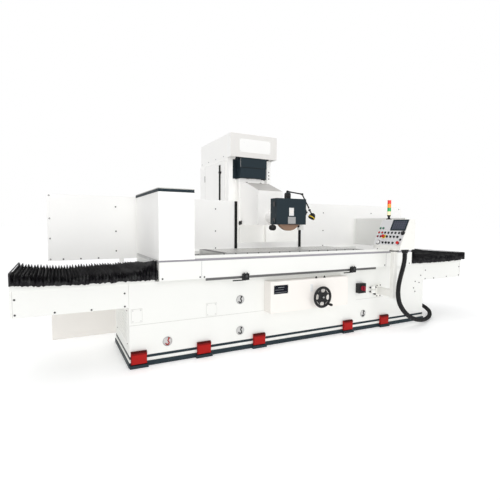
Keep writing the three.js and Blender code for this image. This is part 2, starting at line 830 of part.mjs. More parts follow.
function conduitRoute() {
  return [
    [1205, -792, 998.5],
    [1204, -792, 925],
    [1184, -791, 830],
    [1150, -788, 720],
    [1126, -784, 610],
    [1126, -779, 500],
    [1160, -770, 395],
    [1240, -756, 294],
    [1355, -732, 208],
    [1500, -698, 136],
    [1700, -644, 76],
    [1900, -578, 44],
    [2090, -498, 38],
    [2250, -402, 46],
    [2370, -290, 66],
    [2430, -160, 96],
    [2420, -20, 134],
    [2340, 92, 174],
    [2220, 146, 210],
    [2130, 156, 228],
    [2072, 156, 230],
  ].map(([x, y, z]) => new THREE.Vector3(x, y, z));
}

function conduit() {
  const radius = CONDUIT.diameter / 2;
  const corners = Array.from({ length: CONDUIT.sides }, (_, i) => {
    const angle = (i * 2 * Math.PI) / CONDUIT.sides;
    return [radius * Math.cos(angle), radius * Math.sin(angle)];
  });
  return new THREE.ExtrudeGeometry(outline(corners), {
    steps: CONDUIT.steps,
    extrudePath: new THREE.CatmullRomCurve3(conduitRoute(), false, "centripetal"),
  });
}

// ---------------------------------------------------------------------------------------------
// Hydraulic tank behind the left end
// ---------------------------------------------------------------------------------------------
function hydraulicTank() {
  const [x0, x1, y0, y1, z0, z1] = [-2677, -1940, 815, 1395, 0, 545];
  const t = 8;
  return cut(
    block(x0, x1, y0, y1, z0, z1),
    block(x0 + t, x1 - t, y0 + t, y1 - t, 60, z1 - t),
    rod("z", 45, z1 - 40, z1 + 1, 20).translate(x0 + 120, y0 + 120, 0),
  );
}

// ---------------------------------------------------------------------------------------------
// Assembly
// ---------------------------------------------------------------------------------------------
function addBed() {
  add("bed_casting", bedCasting(), WHITE);
  add("bed_plinth", bedPlinth(), NAVY);
  add("bed_extension_left", bedExtension(bedLeft - EXTENSION.left, bedLeft - GAP), WHITE);
  add("bed_extension_right", bedExtension(bedRight + GAP, bedRight + EXTENSION.right), WHITE);
  COVER_CENTRES.forEach((x, i) => add(`levelling_cover_${i + 1}`, levellingCover(x), RED));
  add("rear_bed", rearBed(), WHITE);
  add("cross_screw", crossScrew(), STEEL);
  add("cross_feed_motor", crossFeedMotor(), MOTOR_GREY);
  add("hydraulic_tank", hydraulicTank(), CREAM);
}

function addTable() {
  add("table_casting", tableCasting(), WHITE);
  add("table_apron", tableApron(), WHITE);
  add("trip_dog_left", tripDog(-868), BLACK);
  add("trip_dog_right", tripDog(610), BLACK);
  add("magnetic_chuck", magneticChuck(), CHUCK_STEEL);
  add("end_guard_left", endGuardLeft(), WHITE);
  add("end_guard_right", endGuardRight(), WHITE);
  add("table_cylinder", tableCylinder(), MOTOR_GREY);
  add("piston_rod", pistonRod(), STEEL);
  add("bellows_left", bellows(BELLOWS_ENDS.left, TABLE.left - GAP), RUBBER);
  add("bellows_right", bellows(TABLE.right + GAP, BELLOWS_ENDS.right), RUBBER);
}

function addRearGuards() {
  add("rear_guard_left", rearGuard(-2691, -447, [-1930, -1300, -600], GUARD_LINE.top), WHITE);
  add("rear_guard_centre", rearGuard(-447 + GAP, 576 - GAP, [-300, 430], 1098), WHITE);
  add("rear_guard_right", rearGuard(576, 2745, [730, 1500, 2400], GUARD_LINE.top), WHITE);
}

function addColumn() {
  add("saddle", saddle(), WHITE);
  add("column_casting", columnCasting(), WHITE);
  add("column_door", columnDoor(), WHITE);
  add("column_hood", hood(), WHITE);
  add("elevating_motor", elevatingMotor(), MOTOR_GREY);
  add("elevating_screw", elevatingScrew(), STEEL);
  add("way_cover_upper", wayCover(218, HOOD.front + 19, 2180, 2335), NAVY);
  add("way_cover_lower", wayCover(212, HOOD.front + 26, CARRIAGE.top + GAP, 2418), NAVY);
}

function addWheelhead() {
  add("head_housing", headHousing(), WHITE);
  add("wheel_guard_body", wheelGuardBody(), NAVY);
  add("wheel_guard_door", wheelGuardDoor(), NAVY);
  add("lamp_arm", lampArm(), BLACK);
  const spindle = groupAt(CENTRE_X, 0, WHEEL.centreZ);
  add("spindle_cartridge", spindleCartridge(), STEEL, spindle);
  add("spindle_motor", spindleMotor(), MOTOR_GREY, spindle);
  add("spindle_shaft", spindleShaft(), STEEL, spindle);
  add("grinding_wheel", grindingWheel(), ABRASIVE, spindle);
  const knob = groupAt(CENTRE_X - WHEEL_GUARD.width / 2 - 12, 20, WHEEL_GUARD.bottom - GAP);
  add("coolant_knob", coolantKnob(), BLACK, knob);
  const lamp = groupAt(LAMP.endX + 8, LAMP.y, LAMP.endZ - 22);
  add("lamp_head", lampHead(), BLACK, lamp);
}

function addFrontFittings() {
  add("feed_box", feedBox(), WHITE);
  const wheel = groupAt(HANDWHEEL.x, HANDWHEEL.y, HANDWHEEL.z);
  add("handwheel", handwheel(), BLACK, wheel);
  const grip = groupAt(HANDWHEEL.x + GRIP.x, HANDWHEEL.y, HANDWHEEL.z + GRIP.z);
  add("handwheel_grip", handwheelGrip(), BLACK, grip);
  add("main_switch_base", switchBase(), BLACK);
  const handle = groupAt(807, bedFront - 62 - GAP, 552);
  add("main_switch_handle", switchHandle(), RED, handle);
}

function addConsole() {
  add("console_arm", consoleArm(), CREAM);
  const console = groupAt(CONSOLE.x, CONSOLE.y, 0);
  add("console_housing", consoleHousing(), CREAM, console);
  const gland = add("console_gland", consoleGland(), BLACK, console);
  gland.position.set(GLAND.x, GLAND.y, CONSOLE.bottom);
  const light = add("stack_light", stackLight(), LAMP_LENS, console);
  light.position.set(85, 175, PANEL.top + GAP);
  const mushroom = turned("z", [[0, 0], [12, 0], [12, 12], [20, 14], [20, 22], [12, 27], [0, 27]], 20);
  const pushCap = turned("z", [[0, 0], [10, 0], [10, 9], [8, 11], [0, 11]], 16);
  const dial = turned("z", [[0, 0], [27, 0], [27, 10], [20, 20], [0, 20]], 24);
  const selector = join(rod("z", 11, 0, 8, 16), block(-4, 4, -12, 12, 4, 20));
  addControl("emergency_stop", mushroom, RED, 0.89, 0.9, 6.3, console);
  addControl("start_button", pushCap, GREEN, 0.165, 0.35, 6.3, console);
  addControl("mode_selector", selector, BLACK, 0.41, 0.67, GAP, console);
  addControl("feed_dial", dial, BLACK, 0.935, 0.52, GAP, console);
}

function addConduit() {
  const gland = groupAt(bedRight, BED_GLAND.y, BED_GLAND.z);
  add("bed_gland", bedGland(), BLACK, gland);
  add("conduit", conduit(), RUBBER);
}

addBed();
addTable();
addRearGuards();
addColumn();
addWheelhead();
addFrontFittings();
addConsole();
addConduit();

export default grinder;
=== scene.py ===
"""Looks of the surface grinder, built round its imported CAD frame.

Metres, +Z up. X runs along the table to the operator's right and Y from the operator to the column.
"""

import json
import math
import random

import bmesh
import bpy
from mathutils import Matrix, Vector


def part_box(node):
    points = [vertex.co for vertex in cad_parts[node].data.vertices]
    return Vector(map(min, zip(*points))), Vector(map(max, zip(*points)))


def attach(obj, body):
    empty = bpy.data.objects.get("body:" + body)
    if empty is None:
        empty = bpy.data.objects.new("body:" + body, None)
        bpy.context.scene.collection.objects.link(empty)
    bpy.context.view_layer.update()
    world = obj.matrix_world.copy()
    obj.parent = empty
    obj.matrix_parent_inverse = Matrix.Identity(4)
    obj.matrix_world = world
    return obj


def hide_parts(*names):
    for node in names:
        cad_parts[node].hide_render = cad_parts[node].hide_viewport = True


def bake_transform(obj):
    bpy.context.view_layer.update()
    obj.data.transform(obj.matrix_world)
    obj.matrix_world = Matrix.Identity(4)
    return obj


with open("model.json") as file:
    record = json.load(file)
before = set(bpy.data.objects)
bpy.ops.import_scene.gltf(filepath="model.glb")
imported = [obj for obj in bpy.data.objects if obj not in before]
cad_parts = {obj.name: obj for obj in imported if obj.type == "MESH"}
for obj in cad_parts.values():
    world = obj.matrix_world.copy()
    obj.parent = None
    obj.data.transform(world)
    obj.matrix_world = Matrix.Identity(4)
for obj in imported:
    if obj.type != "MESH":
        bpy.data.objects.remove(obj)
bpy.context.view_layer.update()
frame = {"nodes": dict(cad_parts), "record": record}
RECORD = frame["record"]
BODY_OF = {node: body for body, nodes in RECORD["behaviour"]["bodies"].items() for node in nodes}
SLOT_OF = {part["node"]: part["material_slot"] for part in RECORD["subparts"]}
X, Y, Z = Vector((1, 0, 0)), Vector((0, 1, 0)), Vector((0, 0, 1))


# --- Camera, light and stage
def add_camera():
    """The photograph's viewpoint: an operator's eye height, to the left of the machine."""
    yaw, pitch, roll = (math.radians(angle) for angle in (27.65, 3.955, 0.358))
    forward = Vector((
        math.sin(yaw) * math.cos(pitch),
        math.cos(yaw) * math.cos(pitch),
        -math.sin(pitch),
    ))
    level = Vector((math.cos(yaw), -math.sin(yaw), 0))
    above = level.cross(forward)
    right = level * math.cos(roll) + above * math.sin(roll)
    up = above * math.cos(roll) - level * math.sin(roll)
    data = bpy.data.cameras.new("camera")
    data.lens = 26.75
    data.sensor_width = 36
    data.clip_end = 500
    camera = bpy.data.objects.new("camera", data)
    camera.matrix_world = Matrix((right, up, -forward)).transposed().to_4x4()
    camera.location = (-2.6146, -3.9596, 1.3478)
    bpy.context.collection.objects.link(camera)
    bpy.context.scene.camera = camera


def add_light(name, kind, energy, towards, **settings):
    """A light that shines along the direction `towards`; settings are its other properties."""
    data = bpy.data.lights.new(name, kind)
    data.energy = energy
    for key, value in settings.items():
        setattr(data, key, value)
    light = bpy.data.objects.new(name, data)
    light.rotation_euler = Vector(towards).to_track_quat("-Z", "Y").to_euler()
    light.location = (0, 0, 6)
    bpy.context.collection.objects.link(light)


def add_studio():
    """An even white surround, with a large soft key above the operator's right shoulder."""
    world = bpy.data.worlds.new("studio")
    world.use_nodes = True
    tree = world.node_tree
    tree.nodes.clear()
    output = tree.nodes.new("ShaderNodeOutputWorld")
    surround = tree.nodes.new("ShaderNodeBackground")
    surround.inputs["Color"].default_value = (0.985, 0.99, 1.0, 1)
    surround.inputs["Strength"].default_value = 0.5
    backdrop = tree.nodes.new("ShaderNodeBackground")
    backdrop.inputs["Color"].default_value = (1, 1, 1, 1)
    backdrop.inputs["Strength"].default_value = 1.0
    seen = tree.nodes.new("ShaderNodeLightPath")
    mix = tree.nodes.new("ShaderNodeMixShader")
    tree.links.new(seen.outputs["Is Camera Ray"], mix.inputs[0])
    tree.links.new(surround.outputs[0], mix.inputs[1])
    tree.links.new(backdrop.outputs[0], mix.inputs[2])
    tree.links.new(mix.outputs[0], output.inputs[0])
    bpy.context.scene.world = world
    add_light("key", "SUN", 0.45, (-0.1, 0.86, -0.5), angle=math.radians(30))
    add_light("fill", "SUN", 1.1, (0.5, 0.86, -0.2), angle=math.radians(40), use_shadow=False)
    add_light("top", "SUN", 0.85, (0.2, -0.1, -1.0), angle=math.radians(60))
    bpy.context.scene.view_settings.view_transform = "Standard"


def add_floor():
    """The pale floor, a hair below the machine's feet. It's stage, not part of the machine."""
    size, below = 150, 0.0005
    mesh = bpy.data.meshes.new("floor")
    corners = [(-size, -size, 0), (size, -size, 0), (size, size, 0), (-size, size, 0)]
    mesh.from_pydata(corners, [], [(0, 1, 2, 3)])
    finish = Finish("floor_paint")
    finish.colour(finish.mix(finish.noise(0.8), (0.93, 0.93, 0.93), (0.95, 0.95, 0.95)))
    finish.set(Roughness=0.7, Emission_Color=(1, 1, 1), Emission_Strength=0.22)
    mesh.materials.append(finish.material)
    floor = bpy.data.objects.new("floor", mesh)
    floor.location = (0, 0, -below)
    bpy.context.collection.objects.link(floor)


# --- Materials
class Finish:
    """A material under construction, with short names for the nodes that these finishes use."""

    def __init__(self, name):
        self.material = bpy.data.materials.new(name)
        self.material.use_nodes = True
        self.tree = self.material.node_tree
        self.shader = self.tree.nodes["Principled BSDF"]
        self.place = self.node("TexCoord").outputs["Object"]

    def node(self, kind, inputs=(), **settings):
        """A new shader node; its inputs are given by name or number, as values or as sockets to link."""
        node = self.tree.nodes.new(f"ShaderNode{kind}")
        for key, value in settings.items():
            setattr(node, key, value)
        for key, value in dict(inputs).items():
            self._join(value, node.inputs[key])
        return node

    def _join(self, value, socket):
        if isinstance(value, bpy.types.NodeSocket):
            self.tree.links.new(value, socket)
        elif isinstance(value, tuple) and len(value) == 3 and socket.type == "RGBA":
            socket.default_value = (*value, 1)
        else:
            socket.default_value = value

    def noise(self, scale, detail=3.0, stretch=(1, 1, 1)):
        spread = self.node("Mapping", {"Vector": self.place, "Scale": stretch})
        inputs = {"Vector": spread.outputs[0], "Scale": scale, "Detail": detail, "Roughness": 0.55}
        return self.node("TexNoise", inputs).outputs["Fac"]

    def cells(self, scale):
        return self.node("TexVoronoi", {"Vector": self.place, "Scale": scale}).outputs["Distance"]

    def span(self, value, low, high, to_low=0.0, to_high=1.0):
        """Maps value from low..high to to_low..to_high, held at both ends."""
        return self.node("MapRange", enumerate((value, low, high, to_low, to_high))).outputs[0]

    def math(self, operation, a, b=0.0):
        return self.node("Math", {0: a, 1: b}, operation=operation).outputs[0]

    def axis(self, letter):
        return self.node("SeparateXYZ", {0: self.place}).outputs[letter]

    def facing(self, letter):
        """How far the surface faces along one axis, from -1 to 1."""
        normal = self.node("NewGeometry").outputs["True Normal"]
        return self.node("SeparateXYZ", {0: normal}).outputs[letter]

    def mix(self, factor, a, b):
        return self.node("Mix", {"Factor": factor, 6: a, 7: b}, data_type="RGBA").outputs[2]

    def edges(self, radius):
        """Near 1 along the edges of the mesh and 0 on its flats."""
        bevel = self.node("Bevel", {"Radius": radius}, samples=4)
        flat = self.node("NewGeometry").outputs["Normal"]
        dot = self.node("VectorMath", {0: bevel.outputs[0], 1: flat}, operation="DOT_PRODUCT")
        return self.span(dot.outputs["Value"], 0.99, 0.8)

    def colour(self, value):
        self._join(value, self.shader.inputs["Base Color"])

    def rough(self, value):
        self._join(value, self.shader.inputs["Roughness"])

    def bump(self, height, depth, strength=1.0):
        """Raises the surface by `depth` metres where height is 1; a second call adds to the first."""
        node = self.node("Bump", {"Strength": strength, "Distance": depth, "Height": height})
        normal = self.shader.inputs["Normal"]
        if normal.links:
            self._join(normal.links[0].from_socket, node.inputs["Normal"])
        self._join(node.outputs[0], normal)

    def set(self, **values):
        for name, value in values.items():
            self._join(value, self.shader.inputs[name.replace("_", " ")])


def scaled(colour, factor):
    """The colour, brighter or darker, held at white."""
    return tuple(min(1.0, channel * factor) for channel in colour)


def paint(name, colour, gloss=0.4, grain=420.0, depth=0.00012, lumps=0.0, wear=(0.42, 0.41, 0.4),
          shine=0.5):
    """Enamel or powder coat: slow changes of tone, a fine grain, dulled patches and rubbed edges."""
    finish = Finish(name)
    tone = finish.mix(finish.noise(1.7, 2.0), scaled(colour, 0.965), scaled(colour, 1.02))
    stain = finish.span(finish.noise(9.0, 5.0), 0.6, 0.85, 0.0, 0.16)
    tone = finish.mix(stain, tone, scaled(colour, 0.86))
    rubbed = finish.math("MULTIPLY", finish.edges(0.0022), finish.span(finish.noise(38, 4), 0.52, 0.66))
    finish.colour(finish.mix(finish.math("MULTIPLY", rubbed, 0.55), tone, wear))
    finish.rough(finish.span(finish.noise(6.0, 4.0), 0.3, 0.7, gloss - 0.05, gloss + 0.1))
    finish.bump(finish.noise(grain, 2.0), depth)
    if lumps:
        finish.bump(finish.noise(14.0, 2.0), lumps)
    finish.set(Specular_IOR_Level=shine)
    return finish.material


def plastic(name, colour, gloss=0.38, grain=1500.0):
    """Moulded plastic with a spark-eroded grain, a little paler where hands have polished its edges."""
    finish = Finish(name)
    tone = finish.mix(finish.noise(30, 3), scaled(colour, 0.9), scaled(colour, 1.12))
    finish.colour(finish.mix(finish.math("MULTIPLY", finish.edges(0.0012), 0.3), tone, scaled(colour, 1.9)))
    finish.rough(finish.span(finish.noise(60, 3), 0.3, 0.7, gloss - 0.06, gloss + 0.08))
    finish.bump(finish.noise(grain, 1.0), 0.00005)
    finish.set(Specular_IOR_Level=0.25)
    return finish.material


def steel(name, colour, gloss=0.3, lined=True, lines=700.0):
    """Ground steel: fine lines along x or an even grain, faint stains and brighter worn edges."""
    finish = Finish(name)
    grind = finish.noise(lines, 2.0, (0.015 if lined else 1, 1, 1))
    tone = finish.mix(grind, scaled(colour, 0.85), scaled(colour, 1.12))
    stain = finish.span(finish.noise(5.0, 5.0), 0.5, 0.75, 0.0, 0.35)
    tone = finish.mix(stain, tone, scaled(colour, 0.62))
    finish.colour(finish.mix(finish.edges(0.0015), tone, scaled(colour, 1.3)))
    finish.rough(finish.span(grind, 0.2, 0.8, gloss - 0.06, gloss + 0.12))
    finish.bump(grind, 0.00006)
    finish.set(Metallic=1.0)
    return finish.material


def chuck_steel():
    """The chuck's ground face, crossed by the thin separators between its poles."""
    finish = Finish("chuck_steel")
    grind = finish.noise(500, 2.0, (0.02, 1, 1))
    tone = finish.mix(grind, (0.6, 0.6, 0.59), (0.78, 0.78, 0.77))
    streak = finish.span(finish.noise(3.5, 5.0, (0.25, 1, 1)), 0.42, 0.68, 0.0, 0.5)
    tone = finish.mix(streak, tone, (0.46, 0.455, 0.445))
    pitch, width, rim = 0.0165, 0.22, 0.045
    along = finish.math("FRACT", finish.math("DIVIDE", finish.axis("X"), pitch))
    line = finish.math("LESS_THAN", along, width)
    top = finish.span(finish.facing("Z"), 0.5, 0.9)
    low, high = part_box("magnetic_chuck")
    inside = finish.math(
        "MULTIPLY",
        finish.math("LESS_THAN", finish.axis("Y"), high.y - rim),
        finish.math("GREATER_THAN", finish.axis("Y"), low.y + rim),
    )
    poles = finish.math("MULTIPLY", finish.math("MULTIPLY", line, top), inside)
    finish.colour(finish.mix(finish.math("MULTIPLY", poles, 0.7), tone, (0.2, 0.17, 0.12)))
    finish.rough(finish.span(grind, 0.2, 0.8, 0.3, 0.48))
    finish.bump(grind, 0.00005)
    finish.set(Metallic=0.85)
    return finish.material


def bellows_cloth():
    """Rubber-coated cloth: a fine weave under the coating, with dust and a painted sheen along the folds."""
    finish = Finish("bellows_cloth")
    dust = finish.span(finish.noise(26, 5.0, (1, 0.35, 1)), 0.48, 0.78)
    folds = finish.span(finish.edges(0.006), 0.0, 1.0, 0.25, 1.0)
    tone = finish.mix(finish.noise(7, 3), (0.005, 0.0045, 0.006), (0.012, 0.011, 0.013))
    # painted highlight: the fold edges are paler, partly dust and partly the sheen that light draws along the
    # ridges
    dust_and_sheen = finish.math("MULTIPLY", dust, folds)
    finish.colour(finish.mix(finish.math("MULTIPLY", dust_and_sheen, 0.75), tone, (0.15, 0.155, 0.15)))
    finish.rough(finish.span(dust, 0.0, 1.0, 0.5, 0.82))
    finish.set(Specular_IOR_Level=0.15)
    finish.bump(finish.noise(900, 1.0, (1, 1, 0.4)), 0.00018)
    finish.bump(finish.noise(40, 3.0), 0.0012, 0.6)
    return finish.material


def conduit_rubber():
    """Black rubber with dust in its grooves."""
    finish = Finish("conduit_rubber")
    dust = finish.span(finish.noise(34, 4.0), 0.5, 0.8, 0.0, 0.4)
    finish.colour(finish.mix(dust, (0.007, 0.007, 0.008), (0.035, 0.035, 0.034)))
    finish.rough(finish.span(finish.noise(15, 3), 0.3, 0.7, 0.26, 0.4))
    finish.bump(finish.noise(700, 2.0), 0.00008)
    finish.set(Specular_IOR_Level=0.2)
    return finish.material


def abrasive():
    """Vitrified grit: coarse grains with darker open pores between them."""
    finish = Finish("abrasive")
    grit = finish.cells(420)
    tone = finish.mix(finish.noise(300, 4), (0.21, 0.125, 0.085), (0.46, 0.3, 0.21))
    finish.colour(finish.mix(finish.span(grit, 0.0, 0.5), (0.14, 0.085, 0.06), tone))
    finish.rough(finish.span(grit, 0.0, 0.6, 0.75, 1.0))
    finish.bump(grit, 0.0006)
    return finish.material


def lens(name, colour):
    """A ribbed signal-light segment: tinted plastic that glows faintly."""
    finish = Finish(name)
    ribs = finish.span(finish.noise(160, 1.0, (1, 1, 0.05)), 0.35, 0.65)
    finish.colour(finish.mix(ribs, scaled(colour, 0.8), scaled(colour, 1.15)))
    finish.rough(finish.span(finish.noise(90, 2), 0.3, 0.7, 0.1, 0.22))
    finish.bump(ribs, 0.0003)
    finish.set(Emission_Color=colour, Emission_Strength=0.18, Coat_Weight=0.5)
    return finish.material


def screen_glass():
    """The console's screen: a dark panel with a faint grid of generic fields."""
    finish = Finish("screen_glass")
    rows = finish.math("FRACT", finish.math("MULTIPLY", finish.axis("Z"), 42.0))
    columns = finish.math("FRACT", finish.math("MULTIPLY", finish.axis("Y"), 30.0))
    field = finish.math(
        "MULTIPLY",
        finish.math("GREATER_THAN", rows, 0.38),
        finish.math("GREATER_THAN", columns, 0.22),
    )
    finish.colour(finish.mix(field, (0.03, 0.036, 0.055), (0.07, 0.082, 0.115)))
    finish.rough(finish.span(finish.noise(25, 3), 0.3, 0.7, 0.1, 0.2))
    finish.bump(finish.noise(60, 1), 0.00003)
    return finish.material


def make_finishes():
    """Every finish of the machine, by the short name that the pieces use."""
    casting_lumps = 0.0009
    return {
        # white, pale, casting and head are one white paint at four brightnesses. pale and head are lit
        # copies, painted brighter to stand in for light where nearby parts shade the guards, column and head.
        # casting is a shaded copy, painted darker where the floor's bounce light is strongest on the bed and
        # table.
        "white": paint("white_enamel", (0.825, 0.827, 0.8)),
        "pale": paint("white_enamel_lit_copy", (0.955, 0.95, 0.93)),
        "casting": paint("white_enamel_shaded_copy", (0.8, 0.803, 0.775), 0.44, 260.0, 0.0002, casting_lumps),
        "head": paint("head_white_lit_copy", (0.955, 0.945, 0.925), 0.42, 300.0, 0.0002, casting_lumps),
        "tank": paint("tank_enamel", (0.76, 0.735, 0.7)),
        "cream": paint("cream_enamel", (0.83, 0.825, 0.785)),
        "warm": paint("warm_white_enamel", (0.835, 0.8, 0.76)),
        "grey": paint("light_grey_enamel", (0.56, 0.555, 0.525)),
        # painted shade: the brow's grey-beige stands for the shade on the head's sloping face
        "brow": paint("brow_painted_shade", (0.56, 0.545, 0.52)),
        "plate": paint("control_plate", (0.7, 0.7, 0.71), 0.34),
        "blank": paint("blank_plate", (0.9, 0.895, 0.88), 0.3),
        "hood_front": paint("hood_front_painted_shade", (0.76, 0.745, 0.72)),
        "shade": paint("joint_and_recess_shade_grey", (0.33, 0.32, 0.35)),
        "mid_grey_and_shade": paint("grey_plate_and_painted_shade", (0.56, 0.56, 0.55), 0.32, 600.0),
        # painted shade: maroon and dark_red darken the levelling covers' tops and left edges
        "maroon": paint("cover_top_painted_shade", (0.075, 0.004, 0.004), 0.45, wear=(0.3, 0.05, 0.04), shine=0.1),
        "dark_red": paint(
            "cover_edge_painted_shade", (0.21, 0.006, 0.006), 0.42, wear=(0.45, 0.08, 0.06), shine=0.1,
        ),
        "navy": paint(
            "navy_powder_coat", (0.016, 0.028, 0.036), 0.46, 900.0, 0.0001,
            wear=(0.08, 0.11, 0.13), shine=0.22,
        ),
        "black": paint(
            "black_enamel", (0.013, 0.013, 0.014), 0.38, 700.0, wear=(0.12, 0.12, 0.12), shine=0.25,
        ),
        "red": paint("red_enamel", (0.37, 0.01, 0.009), 0.4, wear=(0.6, 0.1, 0.08), shine=0.12),
        "motor": paint("motor_grey", (0.2, 0.215, 0.225), 0.42),
        "nameplate": paint("nameplate_black", (0.006, 0.006, 0.012), 0.42, 900.0, shine=0.12),
        "black_plastic": plastic("black_plastic", (0.014, 0.014, 0.015)),
        "seal": plastic("rubber_seal", (0.009, 0.009, 0.01), 0.6, 700),
        "red_plastic": plastic("red_plastic", (0.55, 0.018, 0.016), 0.25),
        "dark_red_plastic": plastic("dark_red_plastic", (0.26, 0.012, 0.03), 0.28),
        "green_plastic": plastic("green_plastic", (0.01, 0.2, 0.105), 0.25),
        "yellow_plastic": plastic("yellow_plastic", (0.9, 0.6, 0.02), 0.3),
        "white_plastic": plastic("white_plastic", (0.75, 0.75, 0.74), 0.3),
        "steel": steel("ground_steel", (0.55, 0.55, 0.545)),
        "steel_round": steel("turned_steel", (0.55, 0.55, 0.545), 0.28, False, 260),
        "dark_steel": steel("blackened_steel", (0.09, 0.09, 0.092), 0.42, False, 300),
        "rail_steel_and_ledge_shade": steel("rail_steel_and_ledge_shade", (0.21, 0.21, 0.21), 0.42, True, 500),
        "chuck": chuck_steel(),
        "bellows": bellows_cloth(),
        "conduit": conduit_rubber(),
        "abrasive": abrasive(),
        "screen": screen_glass(),
        "lens_clear": lens("lens_clear", (0.86, 0.8, 0.5)),
        "lens_green": lens("lens_green", (0.012, 0.36, 0.1)),
        "lens_orange": lens("lens_orange", (0.88, 0.32, 0.02)),
        "lens_red": lens("lens_red", (0.8, 0.025, 0.02)),
    }


# --- Mesh building
SHARP_ANGLE = math.radians(32)


def disc(radius, height, start=0):
    """The profile of a plain disc, to be turned."""
    return [(0, start), (radius, start), (radius, height), (0, height)]


def about(middle, half):
    """The range that reaches `half` to both sides of the middle."""
    return middle - half, middle + half


class Shape:
    """Closed solids collected in one mesh. `place` is where the next solid's own axes stand."""

    def __init__(self):
        self.bm = bmesh.new()
        self.material = 0
        self.place = Matrix.Identity(4)

    def _vertices(self, points):
        return [self.bm.verts.new(self.place @ Vector(point)) for point in points]

    def _face(self, vertices):
        face = self.bm.faces.new(vertices)
        face.material_index = self.material
        return face

    def prism(self, points, axis, low, high):
        """An outline pushed along an axis: [y, z] points along x, [x, z] along y, [x, y] along z."""
        def solid_point(a, b, along):
            return {"x": (along, a, b), "y": (a, along, b), "z": (a, b, along)}[axis]

        first = self._vertices([solid_point(a, b, low) for a, b in points])
        last = self._vertices([solid_point(a, b, high) for a, b in points])
        self._face(first)
        self._face(last[::-1])
        for i in range(len(points)):
            j = (i + 1) % len(points)
            self._face([first[j], first[i], last[i], last[j]])

    def box(self, x, y, z):
        self.prism([(x[0], y[0]), (x[1], y[0]), (x[1], y[1]), (x[0], y[1])], "z", *z)

    def turned(self, profile, centre=(0, 0, 0), axis=Z, segments=32, closed=False):
        """A profile of (radius, along) points swept about an axis through centre."""
        turn = Vector(axis).to_track_quat("Z", "Y").to_matrix().to_4x4()
        stand = Matrix.Translation(centre) @ turn
        rings = []
        for radius, along in profile:
            count = 1 if radius < 1e-7 else segments
            rings.append(self._vertices([
                stand @ Vector((
                    radius * math.cos(2 * math.pi * i / segments),
                    radius * math.sin(2 * math.pi * i / segments),
                    along,
                ))
                for i in range(count)
            ]))
        pairs = list(zip(rings, rings[1:]))
        if closed:
            pairs.append((rings[-1], rings[0]))
        for low, high in pairs:
            for i in range(segments):
                j = (i + 1) % segments
                corners = list(dict.fromkeys(
                    ring[k % len(ring)] for ring, k in ((low, i), (low, j), (high, j), (high, i))
                ))
                if len(corners) > 2:
                    self._face(corners)

    def rod(self, start, end, radius, segments=24):
        start, end = Vector(start), Vector(end)
        length = (end - start).length
        self.turned(disc(radius, length), start, end - start, segments)

    def swept(self, path, radii, sides=16):
        """A tube along a path of points, closed at both ends; radii is one number or one for each point."""
        points = [Vector(point) for point in path]
        if isinstance(radii, (int, float)):
            radii = [radii] * len(points)
        rings = []
        side = None
        for i, point in enumerate(points):
            ahead = (points[min(i + 1, len(points) - 1)] - points[max(i - 1, 0)]).normalized()
            if side is None:
                side = ahead.orthogonal().normalized()
            side = (side - ahead * side.dot(ahead)).normalized()
            other = ahead.cross(side)
            rings.append(self._vertices([
                point + radii[i] * (
                    side * math.cos(2 * math.pi * k / sides) + other * math.sin(2 * math.pi * k / sides)
                )
                for k in range(sides)
            ]))
        self._face(rings[0][::-1])
        self._face(rings[-1])
        for low, high in zip(rings, rings[1:]):
            for k in range(sides):
                m = (k + 1) % sides
                self._face([low[k], low[m], high[m], high[k]])

    def screw_head(self, centre, axis, radius=0.008, height=0.005):
        """A domed cap with a hexagon socket."""
        socket = radius * 0.45
        self.turned(
            [(0, height * 0.45), (socket, height * 0.45), (socket, height), (radius * 0.75, height),
             (radius, height * 0.45), (radius, -0.0003), (0, -0.0003)],
            centre, axis, 12,
        )

    def mesh(self, name):
        bmesh.ops.recalc_face_normals(self.bm, faces=self.bm.faces)
        mesh = bpy.data.meshes.new(name)
        self.bm.to_mesh(mesh)
        self.bm.free()
        return mesh


def placed(name, mesh, finishes, body, bevel=0.0, segments=2, replaces=()):
    """Puts a mesh in the scene with its materials, softened edges and body."""
    for finish in finishes:
        mesh.materials.append(FINISHES[finish])
    mesh.shade_smooth()
    mesh.set_sharp_from_angle(angle=SHARP_ANGLE)
    piece = bpy.data.objects.new(name, mesh)
    bpy.context.collection.objects.link(piece)
    if bevel:
        modifier = piece.modifiers.new("edges", "BEVEL")
        modifier.width = bevel
        modifier.segments = segments
        modifier.limit_method = "ANGLE"
        modifier.angle_limit = SHARP_ANGLE
        modifier.harden_normals = True
        modifier.miter_outer = "MITER_ARC"
    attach(piece, body)
    if replaces:
        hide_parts(*replaces)
    return piece


def add_piece(name, shape, finishes, body, slot, bevel=0.0, segments=2, replaces=()):
    return placed(name, shape.mesh(name), finishes, body, bevel, segments, replaces)


def box_piece(name, x, y, z, finish, body, slot, bevel=0.0, segments=2):
    """A piece that is one plain box."""
    shape = Shape()
    shape.box(x, y, z)
    return add_piece(name, shape, [finish], body, slot, bevel, segments)


def turned_piece(name, profile, centre, axis, sides, finish, body, slot, closed=False, **settings):
    """A piece that is one turned profile; settings go to add_piece."""
    shape = Shape()
    shape.turned(profile, centre, axis, sides, closed)
    return add_piece(name, shape, [finish], body, slot, **settings)


def refined(node, finish, bevel=0.003, segments=2):
    """The CAD node's own shape with its coplanar faces merged and its edges rounded."""
    mesh = bpy.data.meshes.new(f"{node}_finished")
    bm = bmesh.new()
    bm.from_mesh(frame["nodes"][node].data)
    bmesh.ops.remove_doubles(bm, verts=bm.verts, dist=1e-5)
    bmesh.ops.dissolve_limit(bm, angle_limit=math.radians(0.4), verts=bm.verts, edges=bm.edges)
    for face in bm.faces:
        face.material_index = 0
    bm.to_mesh(mesh)
    bm.free()
    return placed(f"{node}_finished", mesh, [finish], BODY_OF[node], bevel, segments, [node])


